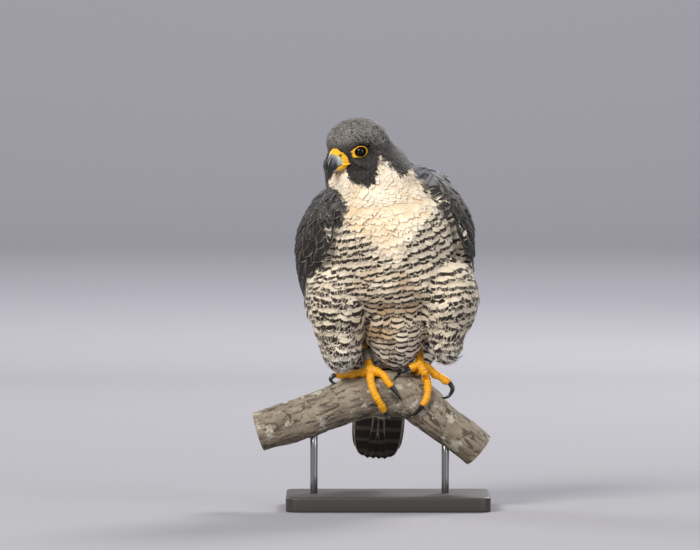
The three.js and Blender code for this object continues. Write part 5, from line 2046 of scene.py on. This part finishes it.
class FALCON_OT_coat(Operator):
    """Adds the feathers of head, body and thighs, laid in overlapping rows over the soft form of the
    bird"""

    bl_idname = "falcon.coat"
    bl_label = "Add Body Feathers"

    def execute(self, context):
        sizes, colours = context.scene.falcon_sizes, colours_of(context)
        self.head(sizes, colours)
        self.body(sizes, colours)
        self.thighs(sizes, colours)
        return {"FINISHED"}

    def head(self, sizes, colours):
        rng = np.random.default_rng(11)
        seeds = clear_of_bill(head_seeds())
        seeds["length"] = seeds["size"] * sizes.feather
        seeds = clear_of_eyes(seeds)
        seeds["normal"] = slope_of(body_field, seeds["root"])
        plan = coat_plan(seeds, colours, sizes, rng)
        look = ("slate_feathers", ("head",), feather_material("Head Feathers", 0.7, 0.2))
        settle = settle_on(body_field)
        front = frame_to_head(plan["root"])[:, 0] > 2
        for seed, (name, keep) in enumerate((("feathers_face", front), ("feathers_crown", ~front))):
            put(feather_coat(name, thinned(plan, keep), settle, 12, 7, 2 + seed), *look)
        loose = wisps_of(plan, 2, 1.1, 0.28, 0.5, rng)
        put(feather_coat("wisps_head", loose, settle, 5, 3, 4), *look)

    def body(self, sizes, colours):
        rng = np.random.default_rng(12)
        seeds = seeds_on(BODY_SPINE, coat_field, 150, BODY_ROWS, 20.0, 41, (0.02, 0.02), (0.5, 0.5))
        root = seeds["root"]
        thigh = np.minimum(thigh_field(root, "left"), thigh_field(root, "right"))
        seeds = kept_seeds(seeds, coat_field, under_wing(root) | (thigh < -4) | (neck_height(root) > 5))
        root = seeds["root"]
        blend = smooth(-30, 0, neck_height(root))[:, None]
        seeds["lie"] = unit(seeds["lie"] * (1 - blend) + flow_at(root) * blend)
        rump = (smooth(170, 148, root[:, 2]) * smooth(5, 25, root[:, 1]))[:, None]
        seeds["lie"] = unit(seeds["lie"] * (1 - rump) + unit(TAIL_TIP - TAIL_ROOT) * rump)
        seeds = lying(seeds, 0.75)
        plan = coat_plan(thinned(seeds, seeds["root"][:, 2] > 128), colours, sizes, rng)
        material, settle = feather_material("Body Feathers", 0.78, 0.3), settle_on(flank_field)
        height = plan["root"][:, 2]
        groups = {
            "feathers_neck": (height > 318, ("neck",), "pale_feathers"),
            "feathers_breast": ((height <= 318) & (height > 244), ("trunk",), "barred_feathers"),
            "feathers_belly": (height <= 244, ("trunk",), "barred_feathers"),
        }
        for seed, (name, (keep, nodes, slot)) in enumerate(groups.items()):
            put(feather_coat(name, thinned(plan, keep), settle, 19, 11, 20 + seed), slot, nodes, material)
        loose = wisps_of(thinned(plan, height > 150), 3, 0.42, 0.32, 1.6, rng)
        put(feather_coat("wisps_body", loose, settle, 6, 3, 24), "barred_feathers", ("trunk",), material)

    def thighs(self, sizes, colours):
        rows = ((0.1, 9.6), (0.6, 9.6), (1.0, 8), (1.14, 7))
        settle = settle_on(flank_field)
        for seed, (side, spine) in enumerate(THIGH_SPINES.items()):
            rng = np.random.default_rng(60 + seed)
            corner = (0.03 + 0.25 * seed, 0.56)
            seeds = seeds_on(spine, thigh_form(side), 80, rows, 8.0, 70 + seed, corner, (0.2, 0.2))
            hidden = (body_field(seeds["root"]) < -5) | under_wing(seeds["root"])
            seeds = kept_seeds(seeds, coat_field, hidden)
            falling = np.array([0, 0, -1.0]) * smooth(190, 170, seeds["root"][:, 2])[:, None]
            seeds["lie"] = unit(seeds["lie"] + falling)
            plan = coat_plan(lying(seeds, 0.7), colours, sizes, rng)
            look = ("barred_feathers", (f"thigh_{side}",), feather_material("Body Feathers"))
            put(feather_coat(f"feathers_thigh_{side}", plan, settle, 19, 11, 80 + seed), *look)
            loose = wisps_of(plan, 6, 0.42, 0.32, 2.2, rng)
            put(feather_coat(f"wisps_thigh_{side}", loose, settle, 6, 3, 84 + seed), *look)


# Sets of long wing feathers: how many, place of the first and step, the tip's lean and its change, start down
# the wing, the tip's place down the wing and its change, half width, height and its change
FLIGHT_SETS = (
    (9, 0.04, 0.055, (0.02, -0.01), 0.36, (0.985, -0.022), 0.055, (0.5, 0.16)),
    (8, 0.53, 0.06, (0.0, 0.0), 0.38, (0.8, -0.012), 0.06, (1.95, 0.16)),
    (4, 0.72, 0.075, (0.0, 0.0), 0.3, (0.7, -0.035), 0.065, (3.2, 0.2)),
)
# The tail's under and upper side: name, feathers on each half, place and step of their tips, half width
TAIL_SIDES = {-1: ("under", 3, 0.62, 0.25, 0.4), 1: ("upper", 6, 0.86, 0.155, 0.21)}


class FALCON_OT_flight(Operator):
    """Adds the coverts and flight feathers of both wings and the feathers of the tail"""

    bl_idname = "falcon.flight"
    bl_label = "Add Wings and Tail"

    def execute(self, context):
        colours = colours_of(context)
        for seed, (side, wing) in enumerate(WING_OF.items()):
            self.coverts(side, wing, colours, seed)
            self.flight(side, wing, colours, seed)
        self.tail(colours)
        return {"FINISHED"}

    def coverts(self, side, wing, colours, seed):
        rng = np.random.default_rng(90 + seed)
        seeds = covert_seeds(wing, (0.03 + 0.22 * seed, 0.78))
        size, count = seeds["size"], len(seeds["root"])
        looks = {"mark": colours["pupil"] * 2, "bars": (0.25, 9.0, 2.5)}
        plan = {**seeds, **same_for(count, sink=1.6, fray=0.12, scatter=0.14, loose=0.6, **looks)}
        plan["length"] = size * 2.6 * rng.uniform(0.9, 1.12, count)
        plan["width"] = size * 1.6 * rng.uniform(0.9, 1.05, count)
        plan["lift"] = 0.7 + (1.2 + 1.2 * smooth(0.3, 0.1, seeds["u"])) * rng.random(count) ** 2
        plan["arch"] = size * 0.06
        shade = 1 + 0.16 * rng.normal(0, 1, count)
        ground = mixed(colours["wing"], colours["back"] * 0.8, smooth(0.12, 0.03, seeds["v"]))
        plan["ground"] = np.clip(ground * shade[:, None], 0, 1)
        plan["edge"] = np.stack([rng.uniform(0.1, 0.6, count), np.full(count, 0.8), np.zeros(count)], -1)
        piece = feather_coat(f"feathers_coverts_{side}", plan, wing.settle, 15, 9, 95 + seed)
        put(piece, "wing_feathers", (f"wing_{side}",), feather_material("Wing Feathers", 0.7, 0.0))

    def flight(self, side, wing, colours, seed):
        rng = np.random.default_rng(100 + seed)
        strips = []
        for many, u, step, lean, root, tip, half, rise in FLIGHT_SETS:
            for i in range(many):
                place = u + step * i
                end = (place + lean[0] + lean[1] * i, tip[0] + tip[1] * i)
                strips.append(((place, root), end, half, rise[0] + rise[1] * i, -0.25))
        start, end = (np.array([strip[k] for strip in strips]) for k in (0, 1))
        shade = 0.92 + 0.08 * rng.normal(0, 1, len(strips))
        looks = {"mark": colours["pupil"] * 2, "bars": (0.35, 11.0, 3.5), "edge": (0.45, 0.9, 0.0)}
        plan = same_for(len(strips), width=14.0, fray=0.02, **looks)
        plan["length"] = size_of(wing.at(*end.T) - wing.at(*start.T))
        plan["patch"] = np.array([0.5, 0.78 + 0.1 * seed]) + start * 0.1
        plan["ground"] = np.clip(colours["wing"] * shade[:, None], 0, 1)
        piece = strip_feathers(f"feathers_flight_{side}", strips, wing.at, plan, 34, 9, 7 + seed)
        put(piece, "wing_feathers", (f"wing_{side}",), feather_material("Wing Feathers"))

    def tail(self, colours):
        material = feather_material("Tail Feathers", 0.6, 0.1)
        for side, (name, many, outer, step, half) in TAIL_SIDES.items():
            strips = []
            for i in range(many):
                over = many - 1 - i if side < 0 else i
                for way in (-1, 1):
                    x = way * (outer - step * i)
                    end = (x, 1.03 - 0.1 * (x / 0.86) ** 4)
                    strips.append(((x * 0.8, 0.1), end, half, 0.4 + 0.2 * over, 0.0))
            looks = {"ground": colours["tail"], "mark": colours["tail_bar"], "edge": (0.9, 0.0, 0.0)}
            bars = (0.65 + 0.15 * side, 13.0, 4.0)
            plan = same_for(len(strips), length=106.0, width=12.0, fray=0.02, bars=bars, **looks)
            ends = np.array([strip[1] for strip in strips])
            plan["patch"] = np.array([0.7, 0.85 + 0.03 * side]) + ends * 0.03
            piece = strip_feathers(f"feathers_tail_{name}", strips, tail_surface(side), plan, 34, 9, 17)
            put(piece, "tail_feathers", ("tail",), material)


class FALCON_OT_face(Operator):
    """Adds the eyes, the bare skin round them, the bill and its cere"""

    bl_idname = "falcon.face"
    bl_label = "Add Eyes and Bill"

    def execute(self, context):
        colours = colours_of(context)
        eyes = eye_material(colours["iris"], colours["pupil"])
        yellow = skin_material("Bare Yellow Skin", colours["yellow"], colours["yellow_crease"], 0.42, 1500.0)
        for sign, side in ((1, "left"), (-1, "right")):
            shell, angle = eye_shell(sign)
            put(graded_piece(f"eye_ball_{side}", shell, angle, (0, math.pi)), "eye", (f"eye_{side}",), eyes)
            piece = shell_piece(f"eye_lids_{side}", [lid_shell(sign)])
            set_vectors(piece, "tone", np.zeros((len(piece.data.vertices), 3)))
            put(piece, "cere_skin", ("head",), yellow)
        self.bill(colours, yellow)
        return {"FINISHED"}

    def bill(self, colours, yellow):
        ends = (colours["horn"], colours["horn_tip"])
        upper = horn_material("Bill Horn", *ends, (0.34, 0.6), 0.34, colours["horn_root"], (0.47, 0.27))
        put(graded_piece("bill_upper_horn", *upper_bill_shell()), "bill_horn", ("bill_upper",), upper)
        lower = horn_material("Lower Bill Horn", *ends, (0.8, 1.1), 0.35, colours["yellow"], (0.78, 0.45))
        put(graded_piece("bill_lower_horn", *lower_bill_shell()), "bill_horn", ("bill_lower",), lower)
        shell, dark = cere_shell()
        piece = shell_piece("cere_soft", [shell, gape_shell(1), gape_shell(-1)])
        dark = np.concatenate([dark, np.zeros(len(piece.data.vertices) - len(dark))])
        # The second part of the tone is the painted shade of the nostrils' pits
        set_vectors(piece, "tone", np.stack([0 * dark, dark, 0 * dark], -1))
        put(piece, "cere_skin", ("cere",), yellow)


class FALCON_OT_feet(Operator):
    """Adds the scaled feet and shanks, the claws and the leg ring"""

    bl_idname = "falcon.feet"
    bl_label = "Add Feet"

    def execute(self, context):
        colours = colours_of(context)
        skin = skin_material("Foot Skin", colours["foot"], colours["foot_crease"], 0.5, 1150.0)
        claw = colours["claw"]
        horn = horn_material("Claw Horn", claw * 1.6, claw, (0.3, 0.6), 0.22, claw * 2.5, (0.2, 0.02))
        for side in FEET:
            put(foot_piece(side), "foot_skin", (f"foot_{side}", f"shank_{side}"), skin)
            for name in FEET[side]["claws"]:
                piece = graded_piece(f"claw_horn_{side}_{name}", *claw_shell(side, name))
                put(piece, "claw_horn", (f"claw_{side}_{name}",), horn)
        metal = plain_material("Ring Metal", colours["metal"], 0.42, 0.85, 0.1)
        put(shell_piece("leg_band", [ring_shell()]), "ring_metal", ("leg_ring",), metal)
        return {"FINISHED"}


class FALCON_OT_support(Operator):
    """Adds the cut branch that the bird stands on and the stand below it"""

    bl_idname = "falcon.support"
    bl_label = "Add Perch and Stand"

    def execute(self, context):
        colours = colours_of(context)
        shell, tone = perch_shell()
        piece = shell_piece("perch_branch", [shell])
        set_vectors(piece, "tone", tone)
        bark = bark_material(colours["bark_pale"], colours["bark"], colours["bark_dark"], colours["lichen"])
        put(piece, "bark", ("perch",), bark)
        board = plain_material("Stand Board", colours["board"], 0.45)
        put(shell_piece("stand_board", [base_shell()]), "stand_board", ("stand_base",), board)
        steel = plain_material("Stand Steel", colours["rod"], 0.3, 0.9)
        for side, (x, y) in RODS.items():
            post = shell_piece(f"stand_post_{side}", [rod_shell(x, y)])
            put(post, "stand_rod", (f"stand_rod_{side}",), steel)
        return {"FINISHED"}


# Stage

AIM = (-0.041, 0.0, 0.252)
CAMERA_DISTANCE = 8.4
CAMERA_ELEVATION = math.radians(2)
LENS = 400
SENSOR_WIDTH = 36
BIRD = (0.0, 0.0, 0.27)
# Each light's place, aim, size in metres, power as a share of the key light's, and colour
LIGHTS = (
    ("Key Light", (-2.2, -3.6, 3.0), BIRD, 2.2, 1.0, (1.0, 0.97, 0.92)),
    ("Fill Light", (3.6, -3.2, 1.6), BIRD, 3.0, 0.35, (0.92, 0.95, 1.0)),
    ("Rim Light", (1.6, 3.4, 2.8), BIRD, 1.6, 0.6, (1.0, 0.98, 0.95)),
    ("Edge Light", (-2.6, 2.6, 2.2), BIRD, 1.4, 0.2, (0.96, 0.98, 1.0)),
    ("Wall Light", (0, 3.6, 4.6), (0, 11, 3.4), 3.0, 2.0, (0.97, 0.97, 1.0)),
)


def backdrop_piece():
    """A round studio floor that curves up into a wall far behind: a profile turned about the middle."""
    curve = np.linspace(0, math.pi / 2, 14)
    radius = np.concatenate([[0.02, 1, 3, 6], 9 + 2.5 * np.sin(curve), [11.5]])
    height = np.concatenate([[0, 0, 0, 0], 2.5 * (1 - np.cos(curve)), [6.5]])
    turn, j = turns(96), np.arange(96)
    rings = [np.stack([r * np.cos(turn), r * np.sin(turn), h + 0 * turn], -1) for r, h in zip(radius, height)]
    points = np.concatenate(rings + [[[0, 0, 0]]]) / MM
    fan = np.stack([np.full(96, len(points) - 1), j, (j + 1) % 96], -1)
    return new_mesh("studio_floor", points, grid_quads(len(radius), 96, wrap=True), fan)


def add_light(name, place, aim, size, watts, colour):
    """A round soft light at a place, facing another."""
    light = bpy.data.lights.new(name, "AREA")
    light.shape = "DISK"
    light.size = size
    light.energy = watts
    light.color = colour
    lamp = bpy.data.objects.new(name, light)
    bpy.context.collection.objects.link(lamp)
    point_at(lamp, place, aim)


def point_at(thing, place, aim):
    """Puts a camera or lamp at a place, turned to face another."""
    thing.location = place
    thing.rotation_mode = "QUATERNION"
    thing.rotation_quaternion = (Vector(aim) - Vector(place)).to_track_quat("-Z", "Y")


class FALCON_OT_stage(Operator):
    """Adds the studio floor, soft lights and the camera at the photograph's angle"""

    bl_idname = "falcon.stage"
    bl_label = "Add Stage"

    def execute(self, context):
        colours, sizes = colours_of(context), context.scene.falcon_sizes
        floor = backdrop_piece()
        floor.data.materials.append(plain_material("Studio Floor", colours["backdrop"], 0.95))
        world = bpy.data.worlds.new("Studio Sky")
        world.use_nodes = True
        sky = world.node_tree.nodes["Background"]
        sky.inputs["Color"].default_value = (0.93, 0.95, 1.0, 1)
        sky.inputs["Strength"].default_value = sizes.sky_light
        context.scene.world = world
        for name, place, aim, size, share, colour in LIGHTS:
            add_light(name, place, aim, size, sizes.key_light * share, colour)
        self.camera(context)
        return {"FINISHED"}

    def camera(self, context):
        lens = bpy.data.cameras.new("Camera")
        lens.lens = LENS
        lens.sensor_width = SENSOR_WIDTH
        lens.clip_end = 60
        camera = bpy.data.objects.new("Camera", lens)
        context.collection.objects.link(camera)
        back = CAMERA_DISTANCE * math.cos(CAMERA_ELEVATION)
        rise = CAMERA_DISTANCE * math.sin(CAMERA_ELEVATION)
        point_at(camera, (AIM[0], AIM[1] - back, AIM[2] + rise), AIM)
        context.scene.camera = camera
        context.scene.view_settings.view_transform = "Standard"


class FALCON_PT_panel(Panel):
    """The falcon's pieces and settings"""

    bl_idname = "FALCON_PT_panel"
    bl_label = "Falcon Display Model"
    bl_space_type = "VIEW_3D"
    bl_region_type = "UI"
    bl_category = "Falcon"

    def draw(self, context):
        for operator in OPERATORS:
            self.layout.operator(operator.bl_idname)
        for group in (context.scene.falcon_sizes, context.scene.falcon_colours):
            for key in type(group).__annotations__:
                self.layout.prop(group, key)


OPERATORS = (
    FALCON_OT_skin,
    FALCON_OT_coat,
    FALCON_OT_flight,
    FALCON_OT_face,
    FALCON_OT_feet,
    FALCON_OT_support,
    FALCON_OT_stage,
)
CLASSES = (FalconColours, FalconSizes) + OPERATORS + (FALCON_PT_panel,)


def register():
    for cls in CLASSES:
        bpy.utils.register_class(cls)
    bpy.types.Scene.falcon_colours = PointerProperty(type=FalconColours)
    bpy.types.Scene.falcon_sizes = PointerProperty(type=FalconSizes)


def unregister():
    del bpy.types.Scene.falcon_sizes
    del bpy.types.Scene.falcon_colours
    for cls in reversed(CLASSES):
        bpy.utils.unregister_class(cls)


def main():
    """Registers the add-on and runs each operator."""
    register()
    for operator in OPERATORS:
        group, name = operator.bl_idname.split(".")
        getattr(getattr(bpy.ops, group), name)()


if __name__ == "__main__":
    main()
